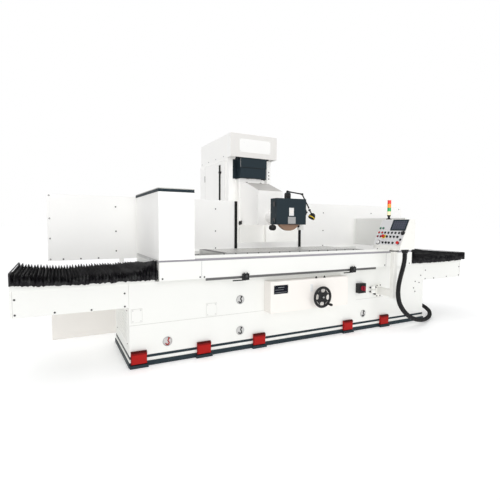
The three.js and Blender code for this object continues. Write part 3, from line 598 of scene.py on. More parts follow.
def screw_heads(name, places, axis, body, radius=0.0085, finish="dark_steel"):
    """One piece that holds a screw head at each of the places."""
    shape = Shape()
    for place in places:
        shape.screw_head(place, axis, radius)
    return add_piece(name, shape, [finish], body, "ground_steel")


def corners_of(x, z, y, inset=0.0):
    """The four corners of an upright rectangle at y, moved inwards."""
    return [(px, y, pz) for px in (x[0] + inset, x[1] - inset) for pz in (z[0] + inset, z[1] - inset)]


def spread(low, high, count):
    """Evenly spaced numbers from low to high, both included."""
    return [low + (high - low) * i / (count - 1) for i in range(count)]


# --- Conduit from the console to the bed
CONDUIT = {"diameter": 0.058, "length": 2.78, "rib": 0.014, "sides": 20}
CONDUIT_ROUTE = [
    (1.205, -0.792, 0.9985), (1.204, -0.792, 0.925), (1.184, -0.791, 0.83), (1.15, -0.788, 0.72),
    (1.126, -0.784, 0.61), (1.126, -0.779, 0.5), (1.16, -0.77, 0.395), (1.24, -0.756, 0.294),
    (1.355, -0.732, 0.208), (1.5, -0.698, 0.136), (1.7, -0.644, 0.076), (1.9, -0.578, 0.044),
    (2.09, -0.498, 0.038), (2.25, -0.402, 0.046), (2.37, -0.29, 0.066), (2.43, -0.16, 0.096),
    (2.42, -0.02, 0.134), (2.34, 0.092, 0.174), (2.22, 0.146, 0.21), (2.13, 0.156, 0.228),
    (2.072, 0.156, 0.23),
]


def smooth_path(route, per_span=24):
    """A centripetal Catmull-Rom curve through the points."""
    points = [Vector(point) for point in route]
    points = [2 * points[0] - points[1], *points, 2 * points[-1] - points[-2]]
    path = []
    for p0, p1, p2, p3 in zip(points, points[1:], points[2:], points[3:]):
        t0 = 0.0
        t1 = t0 + math.sqrt((p1 - p0).length)
        t2 = t1 + math.sqrt((p2 - p1).length)
        t3 = t2 + math.sqrt((p3 - p2).length)
        for i in range(per_span):
            t = t1 + (t2 - t1) * i / per_span
            a1 = (t1 - t) / (t1 - t0) * p0 + (t - t0) / (t1 - t0) * p1
            a2 = (t2 - t) / (t2 - t1) * p1 + (t - t1) / (t2 - t1) * p2
            a3 = (t3 - t) / (t3 - t2) * p2 + (t - t2) / (t3 - t2) * p3
            b1 = (t2 - t) / (t2 - t0) * a1 + (t - t0) / (t2 - t0) * a2
            b2 = (t3 - t) / (t3 - t1) * a2 + (t - t1) / (t3 - t1) * a3
            path.append((t2 - t) / (t2 - t1) * b1 + (t - t1) / (t2 - t1) * b2)
    path.append(points[-2])
    return path


def even_steps(path, step):
    """The path again, as points that lie a nearly equal step apart."""
    along = [0.0]
    for a, b in zip(path, path[1:]):
        along.append(along[-1] + (b - a).length)
    count = round(along[-1] / step)
    points, k = [], 0
    for i in range(count + 1):
        target = along[-1] * i / count
        while k < len(path) - 2 and along[k + 1] < target:
            k += 1
        share = (target - along[k]) / (along[k + 1] - along[k])
        points.append(path[k].lerp(path[k + 1], min(1.0, share)))
    return points


def add_conduit():
    """Corrugated hose: each rib is four rings, from groove to crest and back."""
    path = even_steps(smooth_path(CONDUIT_ROUTE), CONDUIT["rib"] / 4)
    crest = CONDUIT["diameter"] / 2
    heights = [crest - 0.0062, crest - 0.001, crest, crest - 0.001]
    shape = Shape()
    shape.swept(path, [heights[i % 4] for i in range(len(path))], CONDUIT["sides"])
    mesh = shape.mesh("conduit_hose")
    mesh.materials.append(FINISHES["conduit"])
    mesh.shade_smooth()
    hose = bpy.data.objects.new("conduit_hose", mesh)
    bpy.context.collection.objects.link(hose)
    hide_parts("conduit")
    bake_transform(hose)


def add_gland(name, node, mouth, axis, body):
    """A threaded cable gland: flanged locknut, hexagon nut and a tapered, grooved strain relief."""
    low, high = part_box(node)
    length = abs((high - low).dot(Vector(axis)))
    shape = Shape()
    shape.turned([(0, 0), (0.044, 0), (0.044, 0.008), (0.041, 0.01), (0, 0.01)], mouth, axis, 36)
    shape.turned([(0, 0.01), (0.0435, 0.01), (0.0435, 0.028), (0.04, 0.031), (0, 0.031)], mouth, axis, 6)
    relief = [(0, 0.031)]
    for i in range(5):
        along = 0.031 + (length - 0.0335) * i / 5
        radius = 0.0385 - 0.0012 * i
        relief += [(radius, along), (radius, along + 0.003), (radius - 0.0022, along + 0.0036)]
    relief += [(0.0315, length - 0.0008), (0, length - 0.0008)]
    shape.turned(relief, mouth, axis, 32)
    add_piece(name, shape, ["black_plastic"], body, "black_plastic", 0.0008, 1, [node])


def add_glands():
    """The glands at the conduit's two ends."""
    console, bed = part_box("console_gland"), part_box("bed_gland")
    under_console = ((console[0] + console[1]) / 2).to_2d().to_3d() + Z * console[1].z
    on_bed = Vector((bed[0].x, (bed[0].y + bed[1].y) / 2, (bed[0].z + bed[1].z) / 2))
    add_gland("console_cable_gland", "console_gland", under_console, -Z, "console")
    add_gland("bed_cable_gland", "bed_gland", on_bed, X, "root")


# --- Bellows
PLEAT = {
    "pitch": 0.027, "depth": 0.04, "skin": 0.0014, "top": 0.912, "bottom": 0.82,
    "end_rise": 0.034,  # how far the cover rises at its fixed end
    "lean": 0.12,  # how far its front rises at the table
    "cuff": 0.012,
}
# How far a point has followed the table, at the joins between the sections of a bellows.
FOLLOW = [0, 0.02, 0.05, 0.1, 0.2, 0.35, 0.65, 0.8, 0.9, 0.95, 0.98, 1]


def ease(t):
    """The smooth step that a blend follows between its start and its end."""
    return t * t * (3 - 2 * t)


def unease(w):
    """The t at which ease(t) is w."""
    low, high = 0.0, 1.0
    for _ in range(40):
        middle = (low + high) / 2
        low, high = (middle, high) if ease(middle) < w else (low, middle)
    return (low + high) / 2


def section_shares():
    """Each section's share of the length, so that no pleat is squeezed much more than another."""
    shares = []
    for w1, w2 in zip(FOLLOW, FOLLOW[1:]):
        t1, t2 = unease(w1), unease(w2)
        steepest = 1.5 if t1 < 0.5 < t2 else max(6 * t * (1 - t) for t in (t1, t2))
        shares.append(steepest * (t2 - t1))
    return [share / sum(shares) for share in shares]


def pleat_ring(x, low, high, lift, inset, rng, lean):
    """One ring of the cover: up the front, across the top with a slight sag, and down the rear.
    The pleats are deep on top and nearly pressed flat where the skirts hang."""
    radius, flat, across = 0.012, 0.16, 9
    z0, z1 = PLEAT["bottom"] + lift * 0.6, PLEAT["top"] + lift - inset
    shoulder = inset * 0.6
    hem = rng.uniform(-0.007, 0.006)
    front = [(low.y + inset * flat, z0 + hem)]
    front += [
        (
            low.y + inset * flat + (shoulder - inset * flat) * share ** 3,
            z0 + 0.014 + (z1 - radius - z0 - 0.014) * share,
        )
        for share in (0, 0.3, 0.6, 0.85, 1)
    ]
    front += [
        (low.y + shoulder + radius * (1 - math.cos(turn)), z1 - radius * (1 - math.sin(turn)))
        for turn in (0.33 * math.pi / 2, 0.67 * math.pi / 2)
    ]
    middle = (low.y + high.y) / 2
    points = [(x + rng.uniform(-0.001, 0.001), y, z) for y, z in front]
    y0, y1 = low.y + shoulder + radius, high.y - shoulder - radius
    for y in spread(y0, y1, across):
        sag = 0.006 * math.sin(math.pi * (y - y0) / (y1 - y0))
        points.append((x + rng.uniform(-0.0022, 0.0022), y, z1 - sag + rng.uniform(-0.0018, 0.0018)))
    points += [(x + rng.uniform(-0.001, 0.001), 2 * middle - y, z) for y, z in reversed(front)]
    depth = high.y - low.y
    reach = PLEAT["top"] - PLEAT["bottom"]
    return [
        (x, y, z + lean * (high.y - y) / depth * max(0.0, (z - PLEAT["bottom"]) / reach) ** 2)
        for x, y, z in points
    ]


def applied(piece):
    """Turns the piece's modifiers into mesh."""
    bpy.context.view_layer.update()
    evaluated = piece.evaluated_get(bpy.context.evaluated_depsgraph_get())
    mesh = bpy.data.meshes.new_from_object(evaluated)
    piece.modifiers.clear()
    piece.data = mesh


def cover_rings(low, high, fixed_x, run, pleats, rng):
    """The rings of a cover from its fixed end to the table, each as its x and its points."""
    cuff = math.copysign(PLEAT["cuff"], run)
    last = 2 * pleats
    rings = []
    for i in range(last + 1):
        share = i / last
        jitter = 0 if i in (0, last) else rng.uniform(-0.0034, 0.0034)
        inset = (0.0 if i % 2 == 0 else PLEAT["depth"]) + rng.uniform(0, 0.011)
        lift = PLEAT["end_rise"] * max(0.0, 1 - share / 0.35) ** 1.5
        x = fixed_x + cuff + (run - 2 * cuff) * share + jitter
        lean = PLEAT["lean"] * max(0.0, (share - 0.84) / 0.16)
        rings.append((x, pleat_ring(x, low, high, lift, inset, rng, lean)))
    return rings


def add_section(node, number, rings):
    """A run of rings as one piece."""
    shape = Shape()
    rows = [shape._vertices(points) for _, points in rings]
    for a, b in zip(rows, rows[1:]):
        for k in range(len(a) - 1):
            shape._face([a[k], a[k + 1], b[k + 1], b[k]])
    name = f"{node}_{number}"
    mesh = bpy.data.meshes.new(name)
    shape.bm.to_mesh(mesh)
    shape.bm.free()
    mesh.materials.append(FINISHES["bellows"])
    piece = bpy.data.objects.new(name, mesh)
    bpy.context.collection.objects.link(piece)
    skin = piece.modifiers.new("skin", "SOLIDIFY")
    skin.thickness = PLEAT["skin"]
    skin.offset = 0
    applied(piece)
    piece.data.shade_smooth()
    piece.data.set_sharp_from_angle(angle=math.radians(50))
    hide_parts(node)
    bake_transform(piece)


def add_cuff(name, body, x, low, high, rise):
    """The thin sheet frame that an end of the cover is fastened to."""
    y0, y1, z0, z1 = low.y, high.y, PLEAT["bottom"] + rise * 0.6, PLEAT["top"] + rise
    wall, outer, inner = 0.005, 0.008, 0.01
    shape = Shape()
    shape.prism([
        (y0, z0), (y0, z1 - outer), (y0 + outer, z1), (y1 - outer, z1), (y1, z1 - outer), (y1, z0),
        (y1 - wall, z0), (y1 - wall, z1 - inner), (y1 - inner, z1 - wall), (y0 + inner, z1 - wall),
        (y0 + wall, z1 - inner), (y0 + wall, z0),
    ], "x", *sorted(x))
    add_piece(name, shape, ["black"], body, "black_paint", 0.001, 2)


def add_bellows(node, fixed_x, table_x, seed):
    """One pleated cover from the bed to the table, in sections, with a cuff at each end."""
    low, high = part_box(node)
    run = table_x - fixed_x
    pleats = round((abs(run) - 2 * PLEAT["cuff"]) / PLEAT["pitch"])
    rings = cover_rings(low, high, fixed_x, run, pleats, random.Random(seed))
    joins, total = [0], 0.0
    for share in section_shares():
        total += share
        joins.append(round(total * pleats) * 2)
    for number, (first, last) in enumerate(zip(joins, joins[1:]), 1):
        add_section(node, number, rings[first:last + 1])
    cuff = math.copysign(PLEAT["cuff"], run)
    add_cuff(f"{node}_cuff_bed", "root", (fixed_x, fixed_x + cuff), low, high, PLEAT["end_rise"])
    add_cuff(f"{node}_cuff_table", "table", (table_x, table_x - cuff), low, high, 0.0)


# --- Bed, extensions and rear bed
def add_bed():
    """The bed with its plinth, extensions and levelling covers, and what is fastened to them."""
    refined("bed_casting", "casting", 0.005, 3)
    refined("bed_plinth", "navy", 0.004)
    for side in ("left", "right"):
        refined(f"bed_extension_{side}", "casting", 0.004)
    for i in range(1, 6):
        refined(f"levelling_cover_{i}", "red", 0.004, 3)
        add_cover_painted_shade(f"levelling_cover_{i}")
    low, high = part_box("bed_casting")
    gutter = 0.006
    front, left, right = low.y + gutter, low.x + gutter, high.x - gutter
    add_seam_band(left, right, front, high.y)
    add_bed_lines(front)
    add_lifting_holes(front)
    add_end_louvre(left)
    add_bed_screws(front, left, right)
    add_bellows_rails()


def add_cover_painted_shade(node):
    """Painted shade on a levelling cover: a near-black sloping top, and dark red strips along the top and the
    left edge of its front, where shade falls.
    """
    low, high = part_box(node)
    proud = 0.0012
    slope = 0.012
    top = high.z - slope
    shape = Shape()
    shape.material = 1
    shape.box((low.x - proud, high.x + proud), (low.y - proud, low.y + 0.003), (top - 0.02, top - 0.004))
    shape.box((low.x - proud, low.x + 0.007), (low.y - proud, low.y + 0.003), (low.z, top - 0.021))
    shape.material = 0
    shape.prism(
        [(low.y - proud, top - 0.004), (low.y - proud, top + 0.001), (low.y + slope, high.z + proud),
         (high.y, high.z + proud), (high.y, high.z - 0.003), (low.y + slope, high.z - 0.003)],
        "x", low.x - proud, high.x + proud,
    )
    add_piece(f"{node}_rim", shape, ["maroon", "dark_red"], "root", "red_paint", 0.0006, 1)


def add_seam_band(left, right, front, rear):
    """The dark joint round the foot of the bed."""
    depth, proud, z = 0.0118, 0.0015, (0.0775, 0.103)
    shape = Shape()
    shape.box((left - proud, right + proud), (front - proud, front + depth), z)
    for x in (left - proud, right - depth):
        shape.box((x, x + depth + proud), (front + depth, rear - 0.013), z)
    add_piece("bed_foot_joint", shape, ["navy"], "root", "navy_paint", 0.001)


def add_bed_lines(front):
    """Caulked joint halfway up the bed, and two square inspection plates with their screws."""
    shape = Shape()
    for x0, x1 in ((-2.029, -0.605), (0.761, 1.229)):
        shape.box((x0, x1), (front - 0.001, front + 0.001), (0.3955, 0.3995))
    add_piece("bed_mid_joint", shape, ["grey"], "root", "white_paint", 0.0006, 1)
    plates = [((-2.009, -1.912), (0.424, 0.55)), ((-1.269, -1.157), (0.409, 0.536))]
    shape, screws = Shape(), []
    line, inset = 0.0022, 0.012
    for x, z in plates:
        shape.material = 0
        shape.box(x, (front - 0.003, front + 0.001), z)
        shape.material = 1
        for edge_x in (x[0] - line, x[1]):
            shape.box((edge_x, edge_x + line), (front - 0.0012, front + 0.001), (z[0] - line, z[1] + line))
        for edge_z in (z[0] - line, z[1]):
            shape.box(x, (front - 0.0012, front + 0.001), (edge_z, edge_z + line))
        screws += corners_of(x, z, front - 0.003, inset)
    add_piece("inspection_plates", shape, ["casting", "grey"], "root", "white_paint", 0.0006, 1)
    screw_heads("inspection_plate_screws", screws, -Y, "root", 0.005, "steel_round")


def add_lifting_holes(front):
    """Round plates with a plain hook sign, where the bed is slung for lifting."""
    places = [
        (-1.673, 0.205, "red"), (-0.885, 0.545, "black"), (-0.884, 0.211, "black"), (0.884, 0.207, "black"),
    ]
    bend = [
        (0.012, 0.026), (0.006, 0.016), (0.002, 0.007), (0.008, -0.002), (0.014, -0.012), (0.008, -0.022),
        (-0.003, -0.026), (-0.013, -0.02), (-0.016, -0.012),
    ]
    for number, (x, z, hook) in enumerate(places, 1):
        shape = Shape()
        centre = (x, front, z)
        shape.turned([(0.0385, 0.0012), (0.042, 0.0045), (0.046, 0.0045), (0.048, 0.002), (0.048, -0.0005),
                      (0.0385, -0.0005)], centre, -Y, 40, True)
        shape.material = 2
        shape.turned(disc(0.038, -0.0005, 0.0018), centre, -Y, 40)
        shape.material = 1
        shape.swept([(x + 1.2 * dx, front - 0.006, z + 1.2 * dz) for dx, dz in bend], 0.0054, 10)
        shape.rod((x + 0.0125, front - 0.001, z + 0.031), (x + 0.0125, front - 0.0115, z + 0.031), 0.0078, 16)
        finishes = ["steel_round", hook, "mid_grey_and_shade"]
        add_piece(f"lifting_hole_{number}", shape, finishes, "root", "ground_steel", 0.0005, 1)


def add_end_louvre(left):
    """Louvred plate on the left end of the bed, below the extension."""
    y, z = (-0.36, 0.3), (0.19, 0.54)
    shape = Shape()
    shape.box((left - 0.003, left + 0.001), y, z)
    for slat_z in spread(z[0] + 0.045, z[1] - 0.045, 9):
        for y0, y1 in ((y[0] + 0.04, -0.05), (-0.01, y[1] - 0.04)):
            shape.prism(
                [(left - 0.003, slat_z), (left - 0.011, slat_z - 0.009), (left - 0.003, slat_z - 0.013)],
                "y", y0, y1,
            )
    add_piece("bed_end_louvre", shape, ["white"], "root", "white_paint", 0.0008, 1)
    corners = [(x, cy, cz) for cy, x, cz in corners_of(y, z, left - 0.003, 0.015)]
    screw_heads("bed_end_louvre_screws", corners, -X, "root", 0.006)


def add_bellows_rails():
    """Strips along the tops of the bed and its extensions that the bellows' skirts hang beside."""
    left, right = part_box("bed_extension_left")[0].x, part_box("bed_extension_right")[1].x
    shape = Shape()
    for x in ((left + 0.004, -1.79), (1.7, right - 0.004)):
        for y in ((-0.447, -0.4365), (0.4365, 0.447)):
            shape.box(x, y, (0.792, 0.858))
    add_piece("bellows_rails", shape, ["casting"], "root", "white_paint", 0.001, 1)


def add_bed_screws(front, left, right):
    """Dark cap screws on the extensions' flanges and along the bed, and the extensions' edge lines."""
    sides = (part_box("bed_extension_left"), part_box("bed_extension_right"))
    places = []
    for low, high in sides:
        outer, inner = (low.x, high.x) if low.x < 0 else (high.x, low.x)
        inward = math.copysign(0.036, -outer)
        places += [(outer + inward, front, z) for z in (0.723, 0.596)]
        places += [(outer + 9 * inward, front, 0.59), (outer + 17 * inward, front, 0.584)]
        places += [(inner - inward, front, z) for z in (0.708, 0.586)]
    near_gland = ((1.86, 0.56), (1.94, 0.54), (1.83, 0.47), (1.86, 0.42), (1.97, 0.64))
    places += [(x, front, z) for x, z in near_gland]
    screw_heads("bed_screws", places, -Y, "root")
    lines = Shape()
    for low, high in sides:
        outer = low.x if low.x < 0 else high.x
        x = sorted((outer + math.copysign(0.018, -outer), (left if low.x < 0 else right)))
        edge = x[0] + 0.0025 if low.x < 0 else x[1] - 0.0025
        lines.box(about(edge, 0.0015), (front - 0.0012, front + 0.001), (0.575, 0.8))
    add_piece("extension_edge_lines", lines, ["grey"], "root", "white_paint", 0.0005, 1)


def add_rear_works():
    """What stands behind the machine: rear bed, saddle, screws, motors and tank."""
    refined("rear_bed", "casting", 0.005)
    refined("saddle", "casting", 0.005)
    for screw in ("cross_screw", "elevating_screw"):
        refined(screw, "steel_round", 0.001)
    refined("elevating_motor", "motor", 0.002)
    refined("hydraulic_tank", "tank", 0.004)
    add_cross_motor()
    add_tank_fittings()
    low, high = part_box("rear_bed")
    for side, x, out in (("left", low.x, -X), ("right", high.x, X)):
        screws = [(x, y, 0.1) for y in spread(low.y + 0.2, high.y - 0.2, 6)]
        screw_heads(f"rear_bed_screws_{side}", screws, out, "root", 0.014)


def add_cross_motor():
    """The cross feed's motor: square flange, finned body and terminal box."""
    low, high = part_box("cross_feed_motor")
    centre_x = (low.x + high.x) / 2
    centre_z = low.z + 0.075
    shape = Shape()
    shape.box(about(centre_x, 0.075), (low.y, low.y + 0.018), about(centre_z, 0.075))
    profile = [(0, 0.018), (0.062, 0.018)]
    for along in spread(0.03, 0.135, 12):
        profile += [(0.062, along), (0.072, along + 0.001), (0.072, along + 0.004), (0.062, along + 0.005)]
    profile += [(0.068, 0.15), (0.068, 0.186), (0.06, 0.1895), (0, 0.1895)]
    shape.turned(profile, (centre_x, low.y, centre_z), Y, 36)
    shape.box(about(centre_x, 0.045), (low.y + 0.022, low.y + 0.128), (centre_z + 0.055, high.z))
    add_piece("cross_feed_servo", shape, ["motor"], "root", "motor_grey", 0.0012, 1, ["cross_feed_motor"])


def add_tank_fittings():
    """Filler cap, pump and screws on the tank."""
    low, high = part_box("hydraulic_tank")
    cap = [(0, -0.002), (0.058, -0.002), (0.058, 0.012), (0.05, 0.03), (0.03, 0.034), (0, 0.034)]
    turned_piece("tank_filler_cap", cap, (low.x + 0.12, low.y + 0.12, high.z), Z, 24,
                 "black_plastic", "root", "black_plastic", bevel=0.001, segments=1)
    shape = Shape()
    x, y = high.x - 0.2, high.y - 0.25
    shape.turned([(0, 0), (0.095, 0), (0.095, 0.014), (0.07, 0.02), (0.07, 0.17), (0.062, 0.185), (0, 0.185)],
                 (x, y, high.z), Z, 32)
    shape.box((x + 0.06, x + 0.115), about(y, 0.04), (high.z + 0.06, high.z + 0.14))
    add_piece("tank_pump", shape, ["motor"], "root", "motor_grey", 0.0015, 2)
    seams = [(low.x + 0.012, low.y, z) for z in (high.z - 0.02, high.z - 0.06, high.z - 0.1)]
    screw_heads("tank_screws", seams, -Y, "root", 0.006)


# --- Table and what travels with it
def add_table():
    """The table with its apron, chuck, end guards, trip dogs and cylinder."""
    refined("table_casting", "casting", 0.004, 3)
    refined("table_apron", "white", 0.002)
    refined("magnetic_chuck", "chuck", 0.0015)
    # painted light: the left end guard takes the lit copy of the white paint and the right one plain white
    refined("end_guard_left", "pale", 0.0025, 3)
    refined("end_guard_right", "white", 0.0025, 3)
    refined("table_cylinder", "motor", 0.0015)
    refined("piston_rod", "steel", 0.0008, 1)
    for side in ("left", "right"):
        refined(f"trip_dog_{side}", "black", 0.0015)
    add_table_face()
    add_chuck_end_plate()
    add_apron_details()
    add_guard_trim()
    add_chuck_screws()
    add_dog_details()


def add_table_face():
    """Machined face of the table round the chuck, inside the painted rim, with T-slots at its ends."""
    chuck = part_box("magnetic_chuck")
    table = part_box("table_casting")
    floor = chuck[0].z
    gap, rim, slot = 0.0005, 0.03, 0.009
    shape = Shape()
    z = (floor - 0.0006, floor + 0.0022)
    left, right = table[0].x + rim, table[1].x - rim
    front, rear = table[0].y + rim, table[1].y - rim
    shape.box((left, right), (front, chuck[0].y - gap), z)
    shape.box((left, right), (chuck[1].y + gap, rear), z)
    bars = spread(chuck[0].y + 0.035, chuck[1].y - 0.035, 4)
    for x in ((left, chuck[0].x - gap), (chuck[1].x + gap, right)):
        for low, high in zip(bars, bars[1:]):
            shape.box(x, (low + slot, high - slot), z)
        shape.box(x, (chuck[0].y - gap, bars[0] - slot), z)
        shape.box(x, (bars[-1] + slot, chuck[1].y + gap), z)
    # the face takes the dark rail steel: partly the table's own dark iron, partly painted shade on the ledge
    # beside the chuck
    add_piece("table_face", shape, ["rail_steel_and_ledge_shade"], "table", "ground_steel", 0.0006, 1)


def add_chuck_end_plate():
    """The dark strip and the joint at the left end of the chuck's face."""
    low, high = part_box("magnetic_chuck")
    y = (low.y + 0.001, high.y - 0.001)
    end, joint = low.x + 0.07, low.x + 0.082
    shape = Shape()
    shape.box((low.x + 0.001, end), y, (high.z - 0.0002, high.z + 0.0012))
    shape.material = 1
    shape.box((end, joint), y, (high.z - 0.0002, high.z + 0.0014))
    add_piece("chuck_end_plate", shape, ["dark_steel", "black"], "table", "ground_steel", 0.0004, 1)


def add_apron_details():
    """The apron's seams and a dark strip of painted shade in its recess under the rim, the trip dogs' rail
    and the screws.
    """
    low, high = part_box("table_apron")
    front = low.y
    shape = Shape()
    for x in (-1.346, 1.19):
        shape.box(about(x, 0.0015), about(front, 0.001), (0.8115, high.z - 0.002))
    # painted shade: a dark strip in the recess under the rim, where the rim's shadow falls
    shape.box((low.x + 0.001, high.x - 0.001), (front + 0.0121, front + 0.0132), (high.z - 0.004, 1.0112))
    add_piece("apron_seams_and_recess_shade", shape, ["shade"], "table", "white_paint")
    rail = Shape()
    rail.box((-1.302, 1.014), (front - 0.0002, front + 0.0125), (0.785, 0.8125))
    rail.box((-1.302, 1.014), (front - 0.0002, front + 0.002), (0.7965, 0.801))
    add_piece("trip_dog_rail", rail, ["rail_steel_and_ledge_shade"], "table", "ground_steel", 0.001)
    screws = (
        (-1.363, 0.826), (-1.318, 0.824), (1.168, 0.83), (1.36, 0.835), (1.63, 0.835), (-1.735, 0.83),
    )
    screw_heads("apron_screws", [(x, front, z) for x, z in screws], -Y, "table", 0.0085)


def add_guard_trim():
    """The dark band round the top of the left end guard with its grey lip, and the hem along its foot, with a
    grey plate of painted shade inside it under the guard's left side.
    """
    low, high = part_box("end_guard_left")
    out, hem_out = 0.0022, 0.0016
    outline = [
        (high.x, low.y - out), (low.x - out, low.y - out), (low.x - out, high.y + out),
        (high.x, high.y + out), (high.x, high.y), (low.x, high.y), (low.x, low.y), (high.x, low.y),
    ]
    band_top = high.z - 0.008
    band = Shape()
    band.prism(outline, "z", high.z - 0.036, band_top)
    add_piece("end_guard_band", band, ["navy"], "table", "navy_paint", 0.0008, 1)
    lip = Shape()
    lip.prism(outline, "z", band_top + 0.001, high.z)
    add_piece("end_guard_lip", lip, ["grey"], "table", "white_paint", 0.0006, 1)
    hem = Shape()
    hem.prism([
        (high.x, low.y - hem_out), (low.x - hem_out, low.y - hem_out), (low.x - hem_out, high.y),
        (low.x, high.y), (low.x, low.y), (high.x, low.y),
    ], "z", low.z - 0.036, low.z + 0.006)
    # painted shade: a grey plate inside the hem fills the gap under the guard's left side with the shade that
    # falls there
    hem.material = 1
    hem.box((low.x + 0.008, low.x + 0.01), (low.y + 0.021, high.y - 0.001), (0.9655, low.z + 0.004))
    add_piece("end_guard_hem_and_shade_plate", hem, ["pale", "mid_grey_and_shade"], "table", "white_paint", 0.0006, 1)


def add_chuck_screws():
    """Cap screws in the chuck's front and rear faces, its clamps on the table and its lead's box."""
    low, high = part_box("magnetic_chuck")
    step = 0.008
    for side, y, out in (("front", low.y + step, -Y), ("rear", high.y - step, Y)):
        places = [(x, y, high.z - 0.011) for x in spread(low.x + 0.05, high.x - 0.05, 14)]
        screw_heads(f"chuck_{side}_screws", places, out, "table", 0.0075)
    shape = Shape()
    for x in spread(low.x + 0.18, high.x - 0.18, 6):
        shape.box(about(x, 0.022), (low.y - 0.034, low.y + 0.003), (low.z, low.z + 0.013))
        shape.turned(disc(0.008, 0.01), (x, low.y - 0.018, low.z + 0.013), Z, 6)
    add_piece("chuck_clamps", shape, ["dark_steel"], "table", "ground_steel", 0.001)
    lead = Shape()
    box_x = (high.x + 0.06, high.x + 0.16)
    lead.box(box_x, (-0.06, 0.05), (low.z, low.z + 0.055))
    run = (high.x - 0.002, high.x + 0.03, box_x[0] + 0.004)
    lead.swept([(x, -0.01, low.z + 0.03) for x in run], 0.009, 14)
    add_piece("chuck_lead_box", lead, ["black_plastic"], "table", "black_plastic", 0.002)


def add_dog_details():
    """A clamp knob and two striker screws on each trip dog."""
    for side in ("left", "right"):
        low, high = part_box(f"trip_dog_{side}")
        x = high.x - 0.036
        shape = Shape()
        shape.turned([(0, 0), (0.013, 0), (0.015, 0.002), (0.015, 0.012), (0.012, 0.015), (0, 0.015)],
                     (x, low.y, 0.812), -Y, 20)
        for step in (0.018, -0.018):
            shape.turned(disc(0.007, 0.01), (x + step, low.y + 0.014, high.z), Z, 6)
        add_piece(f"trip_dog_{side}_knob", shape, ["dark_steel"], f"dog_{side}", "black_paint", 0.0008, 1)


# --- Splash guards behind the table
def add_rear_guards():
    """The row of splash guards behind the table, its black seals, end folds and screws."""
    for side in ("left", "centre", "right"):
        refined(f"rear_guard_{side}", "pale", 0.002, 2)
    left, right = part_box("rear_guard_left"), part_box("rear_guard_right")
    face = 0.592
    shape = Shape()
    for x in (left[1].x - 0.004, right[0].x + 0.018):
        shape.box(about(x, 0.019), (face - 0.012, face + 0.002), (0.975, left[1].z - 0.006))
        for edge in (x - 0.013, x, x + 0.013):
            shape.box(about(edge, 0.003), (face - 0.018, face - 0.011), (0.98, left[1].z - 0.01))
    add_piece("guard_seals", shape, ["seal"], "root", "black_plastic", 0.002)
    columns = (
        (-2.668, (1.398, 1.181, 0.955)), (-1.99, (1.54, 1.258, 1.03)), (-0.745, (1.546, 1.257, 1.033)),
        (1.035, (1.53, 1.26, 1.03)), (2.03, (1.54, 1.26, 1.03)), (2.683, (1.62, 1.35, 1.08)),
        (-2.668, (1.645,)),
    )
    places = [(x, face, z) for x, rows in columns for z in rows]
    places += [(x, face, 0.953) for x in (-2.543, -2.368, -2.184, 2.2, 2.38, 2.56)]
    screw_heads("rear_guard_screws", places, -Y, "root", 0.0085)
    folds = Shape()
    for x0, x1 in ((left[0].x, left[0].x + 0.03), (right[1].x - 0.03, right[1].x)):
        folds.box((x0, x1), (face - 0.0025, face + 0.001), (0.942, left[1].z - 0.004))
    add_piece("guard_end_folds", folds, ["pale"], "root", "white_paint", 0.001, 1)
    posts = (-1.93, -1.3, -0.6, 0.73, 1.5, 2.4)
    backs = [(x, face + 0.045, z) for x in posts for z in (0.98, 1.28, 1.58)]
    screw_heads("guard_post_screws", backs, Y, "root", 0.009)


# --- Column, hood and way cover
def add_column():
    """The column with its door, hood and way cover."""
    refined("column_casting", "pale", 0.004, 2)
    refined("column_door", "pale", 0.003, 3)
    refined("column_hood", "pale", 0.004, 3)
    for length in ("upper", "lower"):
        refined(f"way_cover_{length}", "navy", 0.0012)
    add_column_ribs()
    add_column_door_details()
    add_hood_details()
    add_way_cover_details()
    add_column_back()


def column_walls():
    """The x of the column's left and right walls."""
    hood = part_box("column_hood")
    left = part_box("column_door")[1].x + 0.0003
    return left, hood[0].x + hood[1].x - left


def add_column_ribs():
    """The guide ribs up both sides of the column's front, with the navy seal strips inside them."""
    left, right = column_walls()
    front, face = 1.075, 1.1477
    z = (0.86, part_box("column_hood")[0].z - 0.003)
    width, strip = 0.066, 0.08
    ribs, strips = Shape(), Shape()
    for outer, inner in ((left, left + width), (right, right - width)):
        ribs.box(sorted((outer, inner)), (front, face), z)
        beyond = inner + math.copysign(strip, inner - outer)
        strips.box(sorted((inner, beyond)), (face - 0.008, face), (2.03, z[1]))
    add_piece("column_ribs", ribs, ["pale"], "column", "white_paint", 0.003, 2)
    add_piece("column_rib_strips", strips, ["navy"], "column", "navy_paint", 0.001, 1)
    screws = [(right - 0.03, front, z) for z in (2.05, 2.1, 2.15)]
    screw_heads("column_front_screws", screws, -Y, "column", 0.009)


